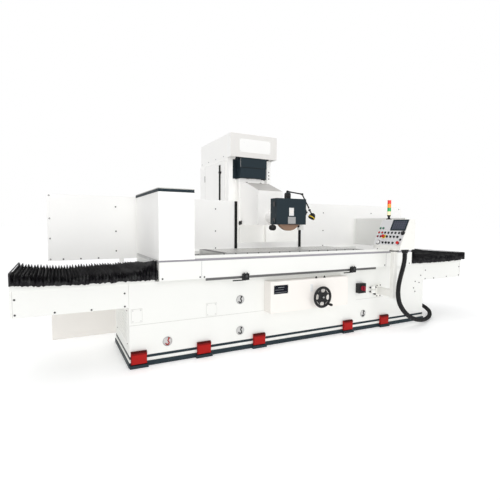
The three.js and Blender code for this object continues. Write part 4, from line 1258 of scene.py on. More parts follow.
def add_column_door_details():
    """A black sealing strip up the door, its latch knob, screws, outline and hinges."""
    low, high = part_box("column_door")
    face = low.x
    shape = Shape()
    shape.box((face - 0.01, face + 0.001), (1.35, 1.398), (0.86, 2.249))
    shape.box((face - 0.014, face - 0.009), (1.362, 1.386), (0.87, 2.24))
    add_piece("column_door_strip", shape, ["seal"], "service_door", "black_plastic", 0.002)
    knob = [
        (0, 0), (0.018, 0), (0.018, 0.005), (0.009, 0.009), (0.009, 0.018), (0.016, 0.024), (0.016, 0.034),
        (0.01, 0.038), (0, 0.038),
    ]
    turned_piece("column_door_knob", knob, (face, 1.335, 2.133), -X, 24,
                 "black_plastic", "service_door", "black_plastic")
    heights = spread(low.z + 0.06, high.z - 0.06, 5)
    rows = [(face, y, z) for y in (low.y + 0.02, high.y - 0.02) for z in heights]
    screw_heads("column_door_screws", rows, -X, "service_door", 0.007, "pale")
    lines = Shape()
    line, out = 0.004, 0.0006
    lines.box((face - out, face + 0.001), (low.y, high.y), (high.z - line, high.z))
    for y in (low.y, high.y - line):
        lines.box((face - out, face + 0.001), (y, y + line), (low.z, high.z))
    add_piece("column_door_outline", lines, ["grey"], "service_door", "white_paint")
    hinge = Shape()
    for z in (1.0, 1.55, 2.1):
        hinge.rod((face + 0.004, high.y + 0.01, z - 0.05), (face + 0.004, high.y + 0.01, z + 0.05), 0.009)
    add_piece("column_door_hinges", hinge, ["dark_steel"], "column", "black_paint", 0.0008, 1)


def add_hood_details():
    """A sheet of painted shade over the hood's front, its blank plate, the dark wipers beside the way cover,
    flashing and lid.
    """
    low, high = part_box("column_hood")
    front = low.y
    # painted shade: a darker copy of the hood's pale paint over its front face, where the lights fall
    # strongest
    box_piece("hood_front_shade_sheet", (low.x + 0.001, high.x - 0.001), (front - 0.0012, front + 0.001),
              (low.z + 0.002, high.z - 0.002), "hood_front", "column", "white_paint", 0.0006, 1)
    box_piece("hood_blank_plate", (-0.226, 0.288), (front - 0.0025, front + 0.001), (2.395, 2.585),
              "blank", "column", "white_paint", 0.001)
    screws = corners_of((-0.214, 0.276), (2.407, 2.573), front - 0.0025)
    screw_heads("hood_plate_screws", screws, -Y, "column", 0.0045, "steel_round")
    corners = Shape()
    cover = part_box("way_cover_upper")
    for x in (cover[0].x - 0.03, cover[1].x + 0.002):
        corners.box((x, x + 0.028), (front + 0.006, front + 0.075), (low.z - 0.014, low.z + 0.004))
    add_piece("hood_corner_wipers", corners, ["seal"], "column", "black_plastic", 0.002)
    flashing = Shape()
    for wall, edge in zip(column_walls(), (low.x, high.x)):
        corner = [(edge, low.z + 0.002), (wall, low.z - 0.045), (wall, low.z + 0.002)]
        flashing.prism(corner, "y", 1.075, high.y)
    add_piece("hood_flashing", flashing, ["pale"], "column", "white_paint", 0.001, 1)
    lip = Shape()
    inner = 0.006
    x, y = (low.x + inner, high.x - inner), (low.y + inner, high.y - inner)
    lip.box(x, y, (high.z - 0.0005, high.z + 0.0035))
    add_piece("hood_lid", lip, ["pale"], "column", "white_paint", 0.001)
    for side, x, out in (("left", low.x, -X), ("right", high.x, X)):
        screws = [(x, y, low.z + 0.03) for y in spread(1.2, high.y - 0.06, 4)]
        screw_heads(f"hood_screws_{side}", screws, out, "column", 0.006)


def add_way_cover_details():
    """Black edges under the cover's two lengths, and the upper length's bright left corner."""
    low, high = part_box("way_cover_upper")
    box_piece("way_cover_upper_edge", (low.x + 0.001, high.x - 0.001), (low.y - 0.0015, low.y + 0.002),
              (low.z - 0.002, low.z + 0.004), "black", "column", "black_paint", 0.0005, 1)
    foot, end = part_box("way_cover_lower")
    box_piece("way_cover_lower_wiper", (foot.x - 0.001, end.x + 0.001), (foot.y - 0.003, foot.y + 0.001),
              (foot.z + 0.001, foot.z + 0.009), "black", "head", "black_paint", 0.0005, 1)
    box_piece("way_cover_corner", (low.x - 0.0008, low.x + 0.0035), (low.y - 0.001, low.y + 0.0035),
              (low.z + 0.004, 2.318), "steel", "column", "ground_steel", 0.0005, 1)


def add_column_back():
    """Service cover and a vent on the rear of the column."""
    left, right = column_walls()
    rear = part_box("column_casting")[1].y
    box_piece("column_back_cover", (left + 0.08, right - 0.08), (rear - 0.001, rear + 0.01), (0.86, 2.22),
              "white", "column", "white_paint", 0.003, 3)
    slats = Shape()
    for z in spread(1.95, 2.13, 8):
        slat = [(rear + 0.009, z), (rear + 0.018, z - 0.008), (rear + 0.009, z - 0.014)]
        slats.prism(slat, "x", -0.16, 0.2)
    add_piece("column_back_vent", slats, ["white"], "column", "white_paint", 0.0008, 1)
    rows = [(x, rear + 0.01, z) for x in (left + 0.1, right - 0.1) for z in spread(0.9, 2.18, 6)]
    screw_heads("column_back_screws", rows, Y, "column", 0.008)


# --- Wheelhead, guard and wheel
HEAD = {"x": 0.018, "half": 0.192}


def add_wheelhead():
    """The wheelhead with its guard, wheel, spindle and coolant fittings."""
    refined("head_housing", "head", 0.006, 3)
    refined("spindle_cartridge", "head", 0.001, 1)
    refined("spindle_motor", "motor", 0.001, 1)
    for half in ("body", "door"):
        refined(f"wheel_guard_{half}", "navy", 0.0025, 3)
    add_brow()
    add_head_apron()
    add_head_fittings()
    add_guard_details()
    add_lamp_base()
    add_wheel()
    add_coolant_nozzle()
    add_coolant_knob()


def add_brow():
    """A plate of painted shade on the head's sloping brow: grey-beige, for the shade that its slope takes
    from its angle to the light.
    """
    front, back = (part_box("head_housing")[0].y, 1.804), (0.843, 1.946)
    slope = Vector((0, back[0] - front[0], back[1] - front[1])).normalized()
    normal = slope.cross(X)
    if normal.z < 0:
        normal = -normal
    centre_x, half = HEAD["x"], HEAD["half"]
    start = Vector((centre_x, *front)) + slope * 0.006
    end = Vector((centre_x, *back)) - slope * 0.006
    lift, sunk = 0.0025, 0.001
    corners = (start - normal * sunk, start + normal * lift, end + normal * lift, end - normal * sunk)
    shape = Shape()
    shape.prism([(p.y, p.z) for p in corners], "x", centre_x - half + 0.005, centre_x + half - 0.005)
    add_piece("head_brow_shade_plate", shape, ["brow"], "head", "white_paint", 0.001)
    places = [
        start.lerp(end, share) + normal * lift + X * (x - centre_x)
        for x in (centre_x - half + 0.018, centre_x + half - 0.018)
        for share in (0.07, 0.5, 0.93)
    ]
    screw_heads("head_brow_screws", places, normal, "head", 0.006, "steel_round")


def add_head_apron():
    """The plain sheet that hangs from the carriage in front of the lifting screw."""
    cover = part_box("way_cover_lower")
    y, sheet, bottom = 1.04, 0.003, 0.962
    left, right = cover[0].x + 0.022, cover[1].x - 0.022
    shape = Shape()
    shape.box((left, right), (y, y + sheet), (bottom, 1.306))
    for edge in (left, right - sheet):
        shape.box((edge, edge + sheet), (y, y + 0.016), (bottom, 1.3))
    add_piece("head_apron", shape, ["pale"], "head", "white_paint", 0.0008, 1)


def add_head_fittings():
    """The oil fitting low on the head's left side, two lifting bosses and the side screws."""
    side = HEAD["x"] - HEAD["half"]
    shape = Shape()
    shape.rod((side + 0.001, 0.977, 1.363), (side - 0.04, 0.977, 1.363), 0.018)
    shape.rod((side - 0.028, 0.977, 1.335), (side - 0.028, 0.977, 1.395), 0.012)
    shape.rod((side - 0.028, 0.977, 1.385), (side - 0.028, 0.915, 1.392), 0.009)
    add_piece("head_oil_fitting", shape, ["black"], "head", "ground_steel", 0.001, 1)
    eye = Shape()
    for x in (-0.1, 0.136):
        eye.turned([(0, -0.001), (0.022, -0.001), (0.022, 0.006), (0.014, 0.012), (0.014, 0.022), (0, 0.022)],
                   (x, 0.96, 1.946), Z, 24)
    add_piece("head_lifting_bosses", eye, ["dark_steel"], "head", "ground_steel", 0.001, 1)
    side_rows = [(side, y, z) for y in (0.5, 1.0) for z in (1.38, 1.56, 1.74)]
    screw_heads("head_side_screws", side_rows, -X, "head", 0.007, "white")


def add_guard_details():
    """Two blank plates, screws, hinges and a latch on the wheel guard's door."""
    low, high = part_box("wheel_guard_door")
    front = low.y
    plate = Shape()
    plate.box((-0.02, 0.05), (front - 0.002, front + 0.0005), (1.458, 1.557))
    plate.material = 1
    plate.box((-0.012, 0.042), (front - 0.0028, front - 0.001), (1.486, 1.53))
    add_piece("guard_label_plate", plate, ["white_plastic", "warm"], "guard_door", "white_paint", 0.0006, 1)
    box_piece("guard_data_plate", (-0.036, 0.078), (front - 0.002, front + 0.0005), (1.358, 1.444),
              "steel", "guard_door", "ground_steel", 0.0006, 1)
    screws = corners_of((-0.029, 0.071), (1.365, 1.437), front - 0.002)
    screw_heads("guard_plate_screws", screws, -Y, "guard_door", 0.0035, "steel_round")
    rim = corners_of((low.x + 0.016, high.x - 0.016), (low.z + 0.02, high.z - 0.02), front)
    screw_heads("guard_door_screws", rim, -Y, "guard_door", 0.006)
    hinge = Shape()
    for z in (1.4, 1.6):
        hinge.rod((low.x - 0.0065, -0.0165, z - 0.03), (low.x - 0.0065, -0.0165, z + 0.03), 0.006, 16)
        hinge.box((low.x - 0.0035, low.x + 0.001), (-0.004, 0.03), about(z, 0.028))
    add_piece("guard_hinges", hinge, ["dark_steel"], "head", "black_paint", 0.0008, 1)
    latch = Shape()
    latch.box((high.x - 0.001, high.x + 0.01), (front + 0.004, front + 0.026), (1.47, 1.54))
    latch.turned([(0, 0), (0.012, 0), (0.014, 0.003), (0.014, 0.014), (0.01, 0.018), (0, 0.018)],
                 (high.x + 0.01, front + 0.015, 1.505), X, 20)
    add_piece("guard_latch", latch, ["black_plastic"], "guard_door", "black_plastic", 0.001, 1)


def add_lamp_base():
    """A ribbed cover over the block that the lamp's post stands on."""
    low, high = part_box("wheel_guard_door")[1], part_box("wheel_guard_body")[1]
    x, y, z = (-0.031, 0.031), (-0.01, 0.044), (low.z + 0.0002, high.z - 0.01)
    shape = Shape()
    shape.box(x, y, z)
    shape.prism([(x[0] + 0.006, z[1] - 0.001), (x[1] - 0.006, z[1] - 0.001), (x[1] - 0.016, high.z + 0.0002),
                 (x[0] + 0.016, high.z + 0.0002)], "y", y[0] + 0.008, y[1] - 0.008)
    for rib in spread(z[0] + 0.012, z[1] - 0.016, 4):
        shape.box((x[0] - 0.0012, x[1] + 0.0012), (y[0] - 0.0012, y[1] + 0.0012), (rib, rib + 0.005))
    add_piece("lamp_base_cover", shape, ["black_plastic"], "head", "black_plastic", 0.0015)


def add_wheel():
    """The grinding wheel with its blotter, front flange, screws and shaft."""
    low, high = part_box("grinding_wheel")
    centre = Vector(((low.x + high.x) / 2, 0, (low.z + high.z) / 2))
    radius = (high.x - low.x) / 2
    bore, edge, paper = 0.0384, 0.002, 0.0008
    wheel = [
        (bore, low.y), (radius - edge, low.y), (radius, low.y + edge), (radius, high.y - edge),
        (radius - edge, high.y), (bore, high.y),
    ]
    turned_piece("grinding_wheel_body", wheel, centre, Y, 96, "abrasive", "spindle", "abrasive",
                 closed=True, replaces=["grinding_wheel"])
    blotter = [(0.039, 0), (0.076, 0), (0.076, paper), (0.039, paper)]
    turned_piece("wheel_blotter", blotter, centre + Y * (low.y - paper), Y, 64,
                 "white_plastic", "spindle", "white_paint", closed=True)
    flange = Shape()
    flange.turned(
        [(0.024, 0), (0.024, -0.02), (0.03, -0.02), (0.066, -0.01), (0.072, -0.006), (0.072, 0)],
        centre + Y * (low.y - 0.001), Y, 64, True,
    )
    for i in range(6):
        angle = math.radians(60 * i)
        place = centre + Vector((0.054 * math.cos(angle), low.y - 0.013, 0.054 * math.sin(angle)))
        flange.screw_head(place, -Y, 0.006)
    add_piece("wheel_flange", flange, ["steel_round"], "spindle", "ground_steel", 0.0006, 1)
    refined("spindle_shaft", "steel_round", 0.001, 1)


def add_coolant_nozzle():
    """The coolant pipe at the right of the wheel: bracket, tap and a flattened nozzle."""
    low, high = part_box("wheel_guard_body")
    x, y = high.x - 0.014, 0.036
    shape = Shape()
    shape.box((x - 0.026, x + 0.03), (y - 0.02, y + 0.034), (low.z - 0.07, low.z - 0.0003))
    shape.box((x + 0.0145, x + 0.03), (y - 0.012, y + 0.026), (low.z - 0.01, low.z + 0.06))
    shape.prism([(x - 0.024, low.z - 0.04), (x - 0.024, low.z - 0.014), (x - 0.044, low.z - 0.058),
                 (x - 0.044, low.z - 0.066)], "y", y - 0.018, y + 0.03)
    add_piece("coolant_nozzle", shape, ["white"], "head", "white_paint", 0.002)
    tap = Shape()
    tap.rod((x - 0.036, y, low.z - 0.022), (x - 0.02, y, low.z - 0.022), 0.008)
    cap = [(0, 0), (0.014, 0), (0.016, 0.003), (0.016, 0.012), (0, 0.015)]
    tap.turned(cap, (x - 0.034, y, low.z - 0.022), -X, 20)
    add_piece("coolant_tap", tap, ["black_plastic"], "head", "black_plastic", 0.0008, 1)


def add_coolant_knob():
    """A round knob with finger lobes and a pointer rib, so that its turning shows."""
    low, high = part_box("coolant_knob")
    centre = Vector(((low.x + high.x) / 2, (low.y + high.y) / 2, high.z))
    shape = Shape()
    shape.turned([(0, 0), (0.015, 0), (0.016, -0.006), (0.031, -0.009), (0.0425, -0.022), (0.045, -0.038),
                  (0.041, -0.057), (0.029, -0.071), (0, -0.0755)], centre, Z, 40)
    lobe = [(0, -0.058), (0.004, -0.054), (0.0045, -0.04), (0.004, -0.026), (0, -0.022)]
    for i in range(8):
        angle = math.radians(45 * i)
        place = centre + Vector((0.0425 * math.cos(angle), 0.0425 * math.sin(angle), 0))
        shape.turned(lobe, place, Z, 12)
    shape.box((centre.x + 0.006, centre.x + 0.028), (centre.y - 0.0025, centre.y + 0.0025),
              (centre.z - 0.0755, centre.z - 0.06))
    add_piece("coolant_knob_lobed", shape, ["black"], "coolant_valve", "black_plastic", 0.0006, 1,
              ["coolant_knob"])


# --- Work lamp
LAMP = {"x": -0.002, "y": 0.017, "post_top": 1.772, "elbow": (0.224, 1.74), "end": (0.338, 1.56)}


def add_lamp():
    """The lamp's post and its two-part arm with their joints."""
    x, y = LAMP["x"], LAMP["y"]
    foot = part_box("wheel_guard_body")[1].z + 0.0003
    bend = Vector((x, y, LAMP["post_top"] - 0.008))
    elbow = Vector((LAMP["elbow"][0], y, LAMP["elbow"][1]))
    end = Vector((LAMP["end"][0], y, LAMP["end"][1]))
    arm = Shape()
    socket = [(0, 0), (0.017, 0), (0.017, 0.008), (0.013, 0.012), (0.013, 0.024), (0.01, 0.0285), (0, 0.0285)]
    arm.turned(socket, (x, y, foot), Z, 24)
    arm.rod(bend, elbow, 0.0085, 16)
    arm.rod(elbow, end, 0.0085, 16)
    for joint in (bend, elbow):
        arm.turned([(0, -0.013), (0.011, -0.013), (0.013, -0.01), (0.013, 0.01), (0.011, 0.013), (0, 0.013)],
                   joint, Y, 24)
        arm.turned(disc(0.008, 0.019, 0.013), joint, -Y, 6)
    sleeve = (elbow - bend).normalized() * 0.01
    for share in (0.12, 0.88):
        place = bend.lerp(elbow, share)
        arm.rod(place - sleeve, place + sleeve, 0.0095, 16)
    add_piece("lamp_jointed_arm", arm, ["black"], "lamp_arm", "black_paint", 0.0008, 1, ["lamp_arm"])
    add_lamp_head()


def add_lamp_head():
    """A ribbed black shade with a yellow ring and a glass, tilted down to the wheel."""
    pivot = Vector((LAMP["end"][0] + 0.008, LAMP["y"], LAMP["end"][1] - 0.022))
    tilt = math.pi + 0.6
    lit = Vector((-math.sin(-tilt), 0, math.cos(-tilt)))
    if lit.z > 0:
        lit = -lit
    centre = pivot + Vector((0.05, 0, -0.072))
    head = Shape()
    profile = [(0, -0.03), (0.02, -0.03), (0.022, -0.027)]
    for along in spread(-0.02, 0.01, 5):
        radius = 0.024 + (along + 0.03) * 0.45
        profile += [(radius + 0.002, along), (radius + 0.002, along + 0.004), (radius - 0.002, along + 0.005)]
    profile += [(0.0455, 0.018), (0.0455, 0.038), (0.042, 0.038), (0.038, 0.01), (0, 0.006)]
    head.turned(profile, centre, lit, 36)
    head.rod(pivot, pivot + Vector((0.036, 0, -0.05)), 0.009, 16)
    joint = [(0, -0.0138), (0.011, -0.0138), (0.013, -0.011), (0.013, 0.011), (0.011, 0.0138), (0, 0.0138)]
    head.turned(joint, pivot, Y, 24)
    add_piece("lamp_shade", head, ["black_plastic"], "lamp_head", "black_plastic", 0.0006, 1, ["lamp_head"])
    ring = [(0.0458, 0.028), (0.047, 0.028), (0.047, 0.0375), (0.0458, 0.0375)]
    turned_piece("lamp_ring", ring, centre, lit, 36,
                 "yellow_plastic", "lamp_head", "lens_plastic", closed=True)
    glass = [(0, 0.0065), (0.037, 0.0105), (0.037, 0.0135), (0, 0.0165)]
    turned_piece("lamp_glass", glass, centre, lit, 36, "screen", "lamp_head", "black_plastic")


# --- Fittings on the front of the bed
def add_feed_box():
    """The feed box with its blank nameplate, label, two sensors and screws."""
    refined("feed_box", "warm", 0.004, 3)
    low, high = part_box("feed_box")
    front = -0.58
    plate = Shape()
    plate.box((-0.55, -0.37), (front - 0.003, front + 0.0005), (0.597, 0.691))
    plate.material = 1
    for x, z in (((-0.535, -0.385), (0.612, 0.616)), ((-0.535, -0.43), (0.64, 0.644)),
                 ((-0.5, -0.42), (0.664, 0.67))):
        plate.box(x, (front - 0.0036, front - 0.002), z)
    add_piece("feed_box_nameplate", plate, ["nameplate", "motor"], "root", "black_plastic", 0.0006, 1)
    screws = corners_of((-0.543, -0.377), (0.604, 0.684), front - 0.003)
    screw_heads("nameplate_screws", screws, -Y, "root", 0.0035, "steel_round")
    keypad = Shape()
    keypad.box((-0.07, -0.03), (front - 0.002, front + 0.0005), (0.59, 0.676))
    keypad.material = 1
    for z in spread(0.604, 0.662, 4):
        keypad.box((-0.062, -0.038), (front - 0.0032, front - 0.001), about(z, 0.004))
    add_piece("feed_box_label", keypad, ["white_plastic", "plate"], "root", "white_paint", 0.0006, 1)
    sensors = Shape()
    for x in (0.032, 0.151):
        sensors.turned([(0, 0), (0.012, 0), (0.012, 0.01), (0.007, 0.012), (0.007, 0.022), (0, 0.024)],
                       (x, -0.555, high.z), Z, 20)
    add_piece("feed_box_sensors", sensors, ["black_plastic"], "root", "black_plastic", 0.0006, 1)
    corners = corners_of((low.x, high.x), (low.z, high.z), front, 0.02)
    screw_heads("feed_box_screws", corners, -Y, "root", 0.006, "white")


def add_handwheel():
    """A four-spoked wheel with its nut, and its revolving crank grip."""
    centre = Vector((0.062, -0.64, 0.526))
    radius, rim_half, rim_depth = 0.125, 0.016, 0.012
    shape = Shape()
    rim = [
        (radius - rim_half + rim_half * math.cos(angle), rim_depth * math.sin(angle))
        for angle in spread(0, 2 * math.pi, 17)[:-1]
    ]
    shape.turned(rim, centre, Y, 72, closed=True)
    hub = [
        (0, -0.014), (0.02, -0.014), (0.028, -0.008), (0.03, 0.004), (0.024, 0.01), (0.024, 0.0385),
        (0, 0.0385),
    ]
    shape.turned(hub, centre, Y, 36)
    collar = [(0.022, -0.005), (0.05, -0.002), (0.056, 0.002), (0.05, 0.008), (0.022, 0.009)]
    shape.turned(collar, centre, Y, 36, True)
    web = [(0.03, 40), (0.052, 30), (0.066, 22), (0.086, 22), (0.098, 32), (0.1075, 38)]
    for i in range(4):
        shape.place = Matrix.Translation(centre) @ Matrix.Rotation(math.radians(90 * i + 50), 4, Y)
        side = [(r * math.cos(math.radians(a)), r * math.sin(math.radians(a))) for r, a in web]
        shape.prism(side + [(x, -z) for x, z in reversed(side)], "y", -0.004, 0.008)
    shape.place = Matrix.Identity(4)
    boss = centre + Vector((0.071, 0, -0.082))
    shape.turned([(0, -0.0138), (0.013, -0.0138), (0.014, -0.01), (0.014, 0.008), (0, 0.008)], boss, Y, 24)
    add_piece("handwheel_spoked", shape, ["black"], "handwheel", "black_paint", 0.0012, 2, ["handwheel"])
    turned_piece("handwheel_nut", [(0, 0), (0.011, 0), (0.011, 0.007), (0, 0.008)], centre - Y * 0.014, -Y, 6,
                 "steel_round", "handwheel", "ground_steel", bevel=0.0008, segments=1)
    tip, base = (corner.y - boss.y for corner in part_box("handwheel_grip"))
    grip = [
        (0, tip), (0.009, tip), (0.013, tip + 0.004), (0.0158, tip + 0.018), (0.0145, tip + 0.036),
        (0.0105, base - 0.012), (0.0125, base - 0.004), (0.0125, base - 0.0004), (0, base - 0.0004),
    ]
    turned_piece("crank_grip_turned", grip, boss, Y, 32, "black_plastic", "crank_grip", "black_plastic",
                 replaces=["handwheel_grip"])


def add_main_switch():
    """The rotary main switch on its black box, with a blank label above."""
    refined("main_switch_base", "black_plastic", 0.004, 3)
    low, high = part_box("main_switch_base")
    centre = Vector((0.807, low.y, 0.552))
    ring = [(0.0335, 0.0001), (0.046, 0.0001), (0.046, 0.004), (0.0335, 0.004)]
    turned_piece("main_switch_dial", ring, centre, -Y, 36, "black", "root", "black_plastic",
                 closed=True, bevel=0.0006, segments=1)
    box_piece("main_switch_label", (low.x + 0.015, high.x - 0.015), (-0.4408, -0.4385),
              (high.z + 0.006, high.z + 0.022), "plate", "root", "white_paint", 0.0005, 1)
    handle = Shape()
    face = centre - Y * 0.0003
    handle.turned([(0, 0), (0.031, 0), (0.031, 0.012), (0.029, 0.016), (0, 0.016)], face, -Y, 40)
    depth = face.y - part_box("main_switch_handle")[0].y
    grip = [
        (-0.009, -0.027), (-0.006, -0.03), (0.006, -0.03), (0.009, -0.027), (0.009, 0.024), (0, 0.03),
        (-0.009, 0.024),
    ]
    handle.prism([(centre.x + x, centre.z + z) for x, z in grip], "y", face.y - depth, face.y - 0.01)
    add_piece("main_switch_rotary", handle, ["dark_red_plastic"], "main_switch", "red_plastic", 0.0015, 2,
              ["main_switch_handle"])


def add_valve_cluster():
    """Two stacked flow valves with black knobs, right of the main switch."""
    front = -0.44
    body = Shape()
    for z in (0.486, 0.54):
        body.box((0.988, 1.052), (front - 0.04, front + 0.0005), about(z, 0.018))
        body.turned(disc(0.013, 0.016), (1.052, front - 0.02, z), X, 20)
    add_piece("flow_valves", body, ["white"], "root", "white_paint", 0.002)
    knobs = Shape()
    side_knob = [(0, 0), (0.011, 0), (0.011, 0.01), (0.007, 0.014), (0, 0.014)]
    for x, z in ((0.988, 0.486), (0.988, 0.54)):
        knobs.turned(side_knob, (x, front - 0.02, z), -X, 20)
    front_knob = [(0, 0), (0.012, 0), (0.012, 0.012), (0.009, 0.016), (0, 0.016)]
    for x, z in ((1.068, 0.54), (1.06, 0.45)):
        knobs.turned(front_knob, (x, front - 0.02, z), -Y, 20)
    knobs.rod((1.06, front + 0.0005, 0.45), (1.06, front - 0.02, 0.45), 0.006)
    knobs.rod((1.06, front - 0.02, 0.54), (1.075, front - 0.02, 0.54), 0.006)
    add_piece("flow_valve_knobs", knobs, ["black_plastic"], "root", "black_plastic", 0.0008, 1)


# --- Console
PANEL = {"top": (1.17, 1.42), "lip": (1.02, 1.098), "near": -0.879, "far": -0.455, "face": 0.0015}


def panel_place(s, t, rise=0.0):
    """Axes on the leaning panel: x to the operator's right, y up the slope and z out of it.
    s runs from the panel's left edge to its right, and t from its top edge to its bottom."""
    top, lip = PANEL["top"], PANEL["lip"]
    up = Vector((top[0] - lip[0], 0, top[1] - lip[1])).normalized()
    across = -Y
    out = across.cross(up)
    at = Vector((
        top[0] + (lip[0] - top[0]) * t,
        PANEL["far"] + (PANEL["near"] - PANEL["far"]) * s,
        top[1] + (lip[1] - top[1]) * t,
    ))
    place = Matrix((across, up, out)).transposed().to_4x4()
    place.translation = at + out * rise
    return place


def panel_length():
    """The panel's length down its slope."""
    top, lip = PANEL["top"], PANEL["lip"]
    return math.hypot(top[0] - lip[0], top[1] - lip[1])


def panel_ring(name, s, t, inner, outer, height, finish="dark_steel"):
    """An open ring that stands on the panel round a control."""
    ring = Shape()
    ring.place = panel_place(s, t, PANEL["face"])
    profile = [(inner, -0.0002), (outer, -0.0002), (outer, height * 0.8), (inner, height)]
    ring.turned(profile, segments=28, closed=True)
    add_piece(name, ring, [finish], "console", "black_plastic")


def push_button(name, s, t, finish, body="console", replaces=()):
    """A round button in its bezel. One with a joint of its own has only its moving cap here."""
    panel_ring(f"{name}_bezel", s, t, 0.0116, 0.0155, 0.003)
    cap = Shape()
    cap.place = panel_place(s, t, PANEL["face"])
    base = 0.0062 if replaces else 0.003
    cap.turned([(0, base), (0.0105, base), (0.011, base + 0.0045), (0.009, base + 0.007), (0, base + 0.0078)],
               segments=28)
    if not replaces:
        seat = [(0, -0.0002), (0.0114, -0.0002), (0.0114, 0.0016), (0.0085, 0.0032), (0, 0.0032)]
        cap.turned(seat, segments=20)
    add_piece(name, cap, [finish], body, SLOT_OF[replaces[0]] if replaces else "red_plastic", 0, 2, replaces)


def selector(name, s, t, turn, body="console", replaces=()):
    """A round base with a pointed bar that shows where it is set."""
    panel_ring(f"{name}_bezel", s, t, 0.0118, 0.0155, 0.0028)
    knob = Shape()
    knob.place = panel_place(s, t, 0.0003) @ Matrix.Rotation(math.radians(turn), 4, "Z")
    knob.turned([(0, 0), (0.0112, 0), (0.0108, 0.009), (0, 0.009)], segments=28)
    bar = [(-0.004, -0.012), (0.004, -0.012), (0.0042, 0.008), (0, 0.013), (-0.0042, 0.008)]
    knob.prism(bar, "z", 0.006, 0.02)
    add_piece(name, knob, ["black_plastic"], body, "black_plastic", 0.0006, 1, replaces)


def mushroom(name, s, t, body="console", replaces=(), plate_finish=None):
    """A mushroom head in its collar, on a coloured plate where a finish for it is given."""
    if plate_finish:
        plate = Shape()
        plate.place = panel_place(s, t, PANEL["face"])
        plate.box((-0.026, 0.026), (-0.024, 0.024), (-0.0002, 0.0014))
        add_piece(f"{name}_plate", plate, [plate_finish], "console", "lens_plastic", 0.0005, 1)
    head = Shape()
    head.place = panel_place(s, t, 0.0063)
    head.turned([
        (0, 0.0018), (0.0115, 0.0018), (0.0115, 0.01), (0.019, 0.013), (0.02, 0.017), (0.0185, 0.022),
        (0.011, 0.0262), (0, 0.027),
    ], segments=36)
    add_piece(name, head, ["red_plastic"], body, "red_plastic", 0, 2, replaces)
    panel_ring(f"{name}_collar", s, t, 0.0125, 0.0165, 0.0046, "black_plastic")


def dial(name, s, t, radius, body="console", replaces=(), finish="black_plastic", pointer="white_plastic"):
    """A fluted dial with a pointer line."""
    knob = Shape()
    knob.place = panel_place(s, t, 0.0003 if replaces else 0.0016)
    knob.turned([
        (0, 0), (radius, 0), (radius, 0.008), (radius * 0.8, 0.012), (radius * 0.74, 0.0196), (0, 0.0198),
    ], segments=40)
    for i in range(16):
        angle = 2 * math.pi * i / 16
        x, y = radius * 0.97 * math.cos(angle), radius * 0.97 * math.sin(angle)
        knob.turned(disc(radius * 0.07, 0.0078, 0.0005), (x, y, 0), Z, 8)
    knob.material = 1
    knob.box((-0.0012, 0.0012), (radius * 0.15, radius * 0.68), (0.019, 0.0203))
    add_piece(name, knob, [finish, pointer], body, "black_plastic", 0, 2, replaces)


def add_console():
    """The console on its arm: housing, face plate, screen, controls, stack light and fittings."""
    refined("console_arm", "cream", 0.005, 3)
    refined("console_housing", "cream", 0.004, 3)
    plate = Shape()
    plate.place = panel_place(0.5, 0.5)
    width, length = PANEL["far"] - PANEL["near"], panel_length()
    half_x, half_y = width / 2 - 0.008, length / 2 - 0.008
    plate.box((-half_x, half_x), (-half_y, half_y), (-0.0002, PANEL["face"]))
    add_piece("console_face", plate, ["plate"], "console", "cream_paint", 0.0006, 1)
    add_screen()
    add_controls()
    add_stack_light()
    add_console_fittings()


def add_screen():
    """The screen in its bezel of four mitred strips."""
    width, length = PANEL["far"] - PANEL["near"], panel_length()
    left, right, top, bottom = 0.44, 0.985, 0.015, 0.43
    shape = Shape()
    shape.place = panel_place((left + right) / 2, (top + bottom) / 2, PANEL["face"])
    half_x, half_y = (right - left) * width / 2, (bottom - top) * length / 2
    rim = 0.017
    outer = [(-half_x, -half_y), (half_x, -half_y), (half_x, half_y), (-half_x, half_y)]
    inner = [(math.copysign(abs(x) - rim, x), math.copysign(abs(y) - rim, y)) for x, y in outer]
    for i in range(4):
        j = (i + 1) % 4
        shape.prism([outer[i], outer[j], inner[j], inner[i]], "z", -0.0002, 0.006)
    add_piece("screen_bezel", shape, ["navy"], "console", "black_plastic", 0.0012, 2)
    glass = Shape()
    glass.place = shape.place
    glass.prism([(x * 1.004, y * 1.004) for x, y in inner], "z", -0.0002, 0.003)
    add_piece("screen", glass, ["screen"], "console", "black_plastic")


def add_controls():
    """The panel's rows: two green buttons, then buttons, selectors, mushrooms and dials."""
    push_button("start_button_cap", 0.165, 0.35, "green_plastic", "start_button", ("start_button",))
    push_button("ready_button", 0.055, 0.35, "green_plastic")
    for number, s in enumerate((0.06, 0.18), 1):
        push_button(f"stop_button_{number}", s, 0.52, "red_plastic")
    for number, s in enumerate((0.29, 0.415, 0.545, 0.67, 0.8), 1):
        push_button(f"axis_button_{number}", s, 0.52, "black_plastic")
    dial("feed_dial_fluted", 0.935, 0.52, 0.0265, "feed_dial", ("feed_dial",))
    for number, s in enumerate((0.053, 0.165), 1):
        push_button(f"pump_button_{number}", s, 0.67, "dark_red_plastic")
    mushroom("retract_button", 0.29, 0.67, plate_finish="yellow_plastic")
    selector("mode_selector_knob", 0.41, 0.67, 0, "mode_selector", ("mode_selector",))
    for number, (s, turn) in enumerate(((0.54, 35), (0.665, 35), (0.795, -35)), 1):
        selector(f"selector_{number}", s, 0.67, turn)
    push_button("step_button", 0.92, 0.765, "black_plastic")
    dial("speed_dial", 0.156, 0.9, 0.023, finish="white_plastic", pointer="black")
    panel_ring("speed_dial_ring", 0.156, 0.9, 0.0236, 0.03, 0.0048, "black")
    for number, (s, turn) in enumerate(((0.33, 20), (0.45, -20), (0.56, 20), (0.695, 35)), 1):
        selector(f"lower_selector_{number}", s, 0.9, turn)
    mushroom("emergency_stop_head", 0.89, 0.9, "emergency_stop", ("emergency_stop",))


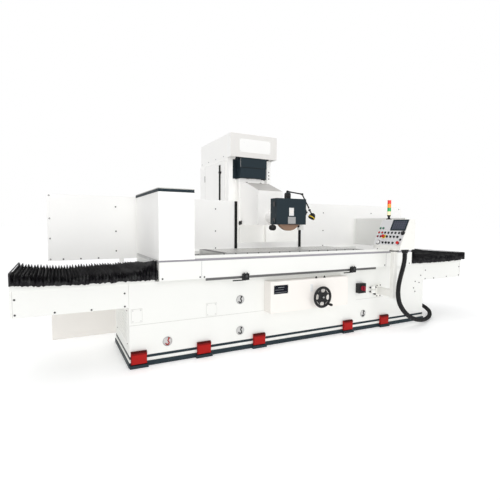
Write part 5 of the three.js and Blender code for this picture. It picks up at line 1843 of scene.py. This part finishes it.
def add_stack_light():
    """A black foot and pole under four coloured segments."""
    low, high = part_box("stack_light")
    centre = Vector(((low.x + high.x) / 2, (low.y + high.y) / 2, low.z))
    foot = [
        (0, 0), (0.034, 0), (0.034, 0.006), (0.03, 0.01), (0.016, 0.016), (0.014, 0.036), (0.022, 0.046),
        (0.024, 0.05), (0.024, 0.056), (0, 0.056),
    ]
    turned_piece("stack_light_foot", foot, centre, Z, 36, "black_plastic", "console", "black_plastic",
                 replaces=["stack_light"])
    height = (high.z - low.z - 0.058) / 4
    for number, colour in enumerate(("clear", "green", "orange", "red")):
        base = 0.057 + number * height
        tier = Shape()
        profile = [(0, base), (0.0238, base), (0.0238, base + 0.003), (0.0226, base + 0.004)]
        for along in spread(base + 0.008, base + height - 0.01, 6):
            profile += [(0.0226, along), (0.0234, along + 0.0012), (0.0226, along + 0.0024)]
        top = base + height
        profile += [(0.0226, top - 0.004), (0.0238, top - 0.003), (0.0238, top - 0.0004), (0, top - 0.0002)]
        tier.turned(profile, centre, Z, 32)
        add_piece(f"stack_light_{colour}", tier, [f"lens_{colour}"], "console", "lens_plastic")


def add_console_fittings():
    """The back door with its screws, the swivel's clamp and the arm's flange with its bolts."""
    low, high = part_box("console_housing")
    back = high.x
    box_piece("console_back_door", (back - 0.0005, back + 0.003), (low.y + 0.02, high.y - 0.02),
              (1.075, high.z - 0.02), "cream", "console", "cream_paint", 0.0015, 2)
    screws = [(back + 0.003, y, z) for y in (low.y + 0.032, high.y - 0.032) for z in (1.09, high.z - 0.035)]
    screw_heads("console_back_screws", screws, X, "console", 0.005, "steel_round")
    clamp = Shape()
    x, y = 1.137, -0.686
    clamp.turned([(0.0505, 0), (0.056, 0), (0.056, 0.014), (0.0505, 0.014)], (x, y, 1.02), Z, 36, True)
    clamp.rod((x - 0.05, y - 0.02, 1.027), (x - 0.085, y - 0.045, 1.027), 0.005, 12)
    add_piece("console_swivel_clamp", clamp, ["dark_steel"], "root", "black_paint", 0.0008, 1)
    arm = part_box("console_arm")
    box_piece("console_arm_flange", (arm[0].x + 0.004, arm[1].x - 0.004), (-0.452, -0.44),
              (0.405, 0.575), "cream", "root", "cream_paint", 0.002)
    bolts = corners_of((1.108, 1.166), (0.42, 0.56), -0.452)
    screw_heads("console_arm_bolts", bolts, -Y, "root", 0.009)


# --- The scene
FINISHES = make_finishes()
add_camera()
add_conduit()
add_glands()
add_studio()
add_floor()
left_bellows, right_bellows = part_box("bellows_left"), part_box("bellows_right")
add_bellows("bellows_left", left_bellows[0].x, left_bellows[1].x, 11)
add_bellows("bellows_right", right_bellows[1].x, right_bellows[0].x, 12)
add_bed()
add_rear_works()
add_table()
add_rear_guards()
add_column()
add_wheelhead()
add_lamp()
add_feed_box()
add_handwheel()
add_main_switch()
add_valve_cluster()
add_console()
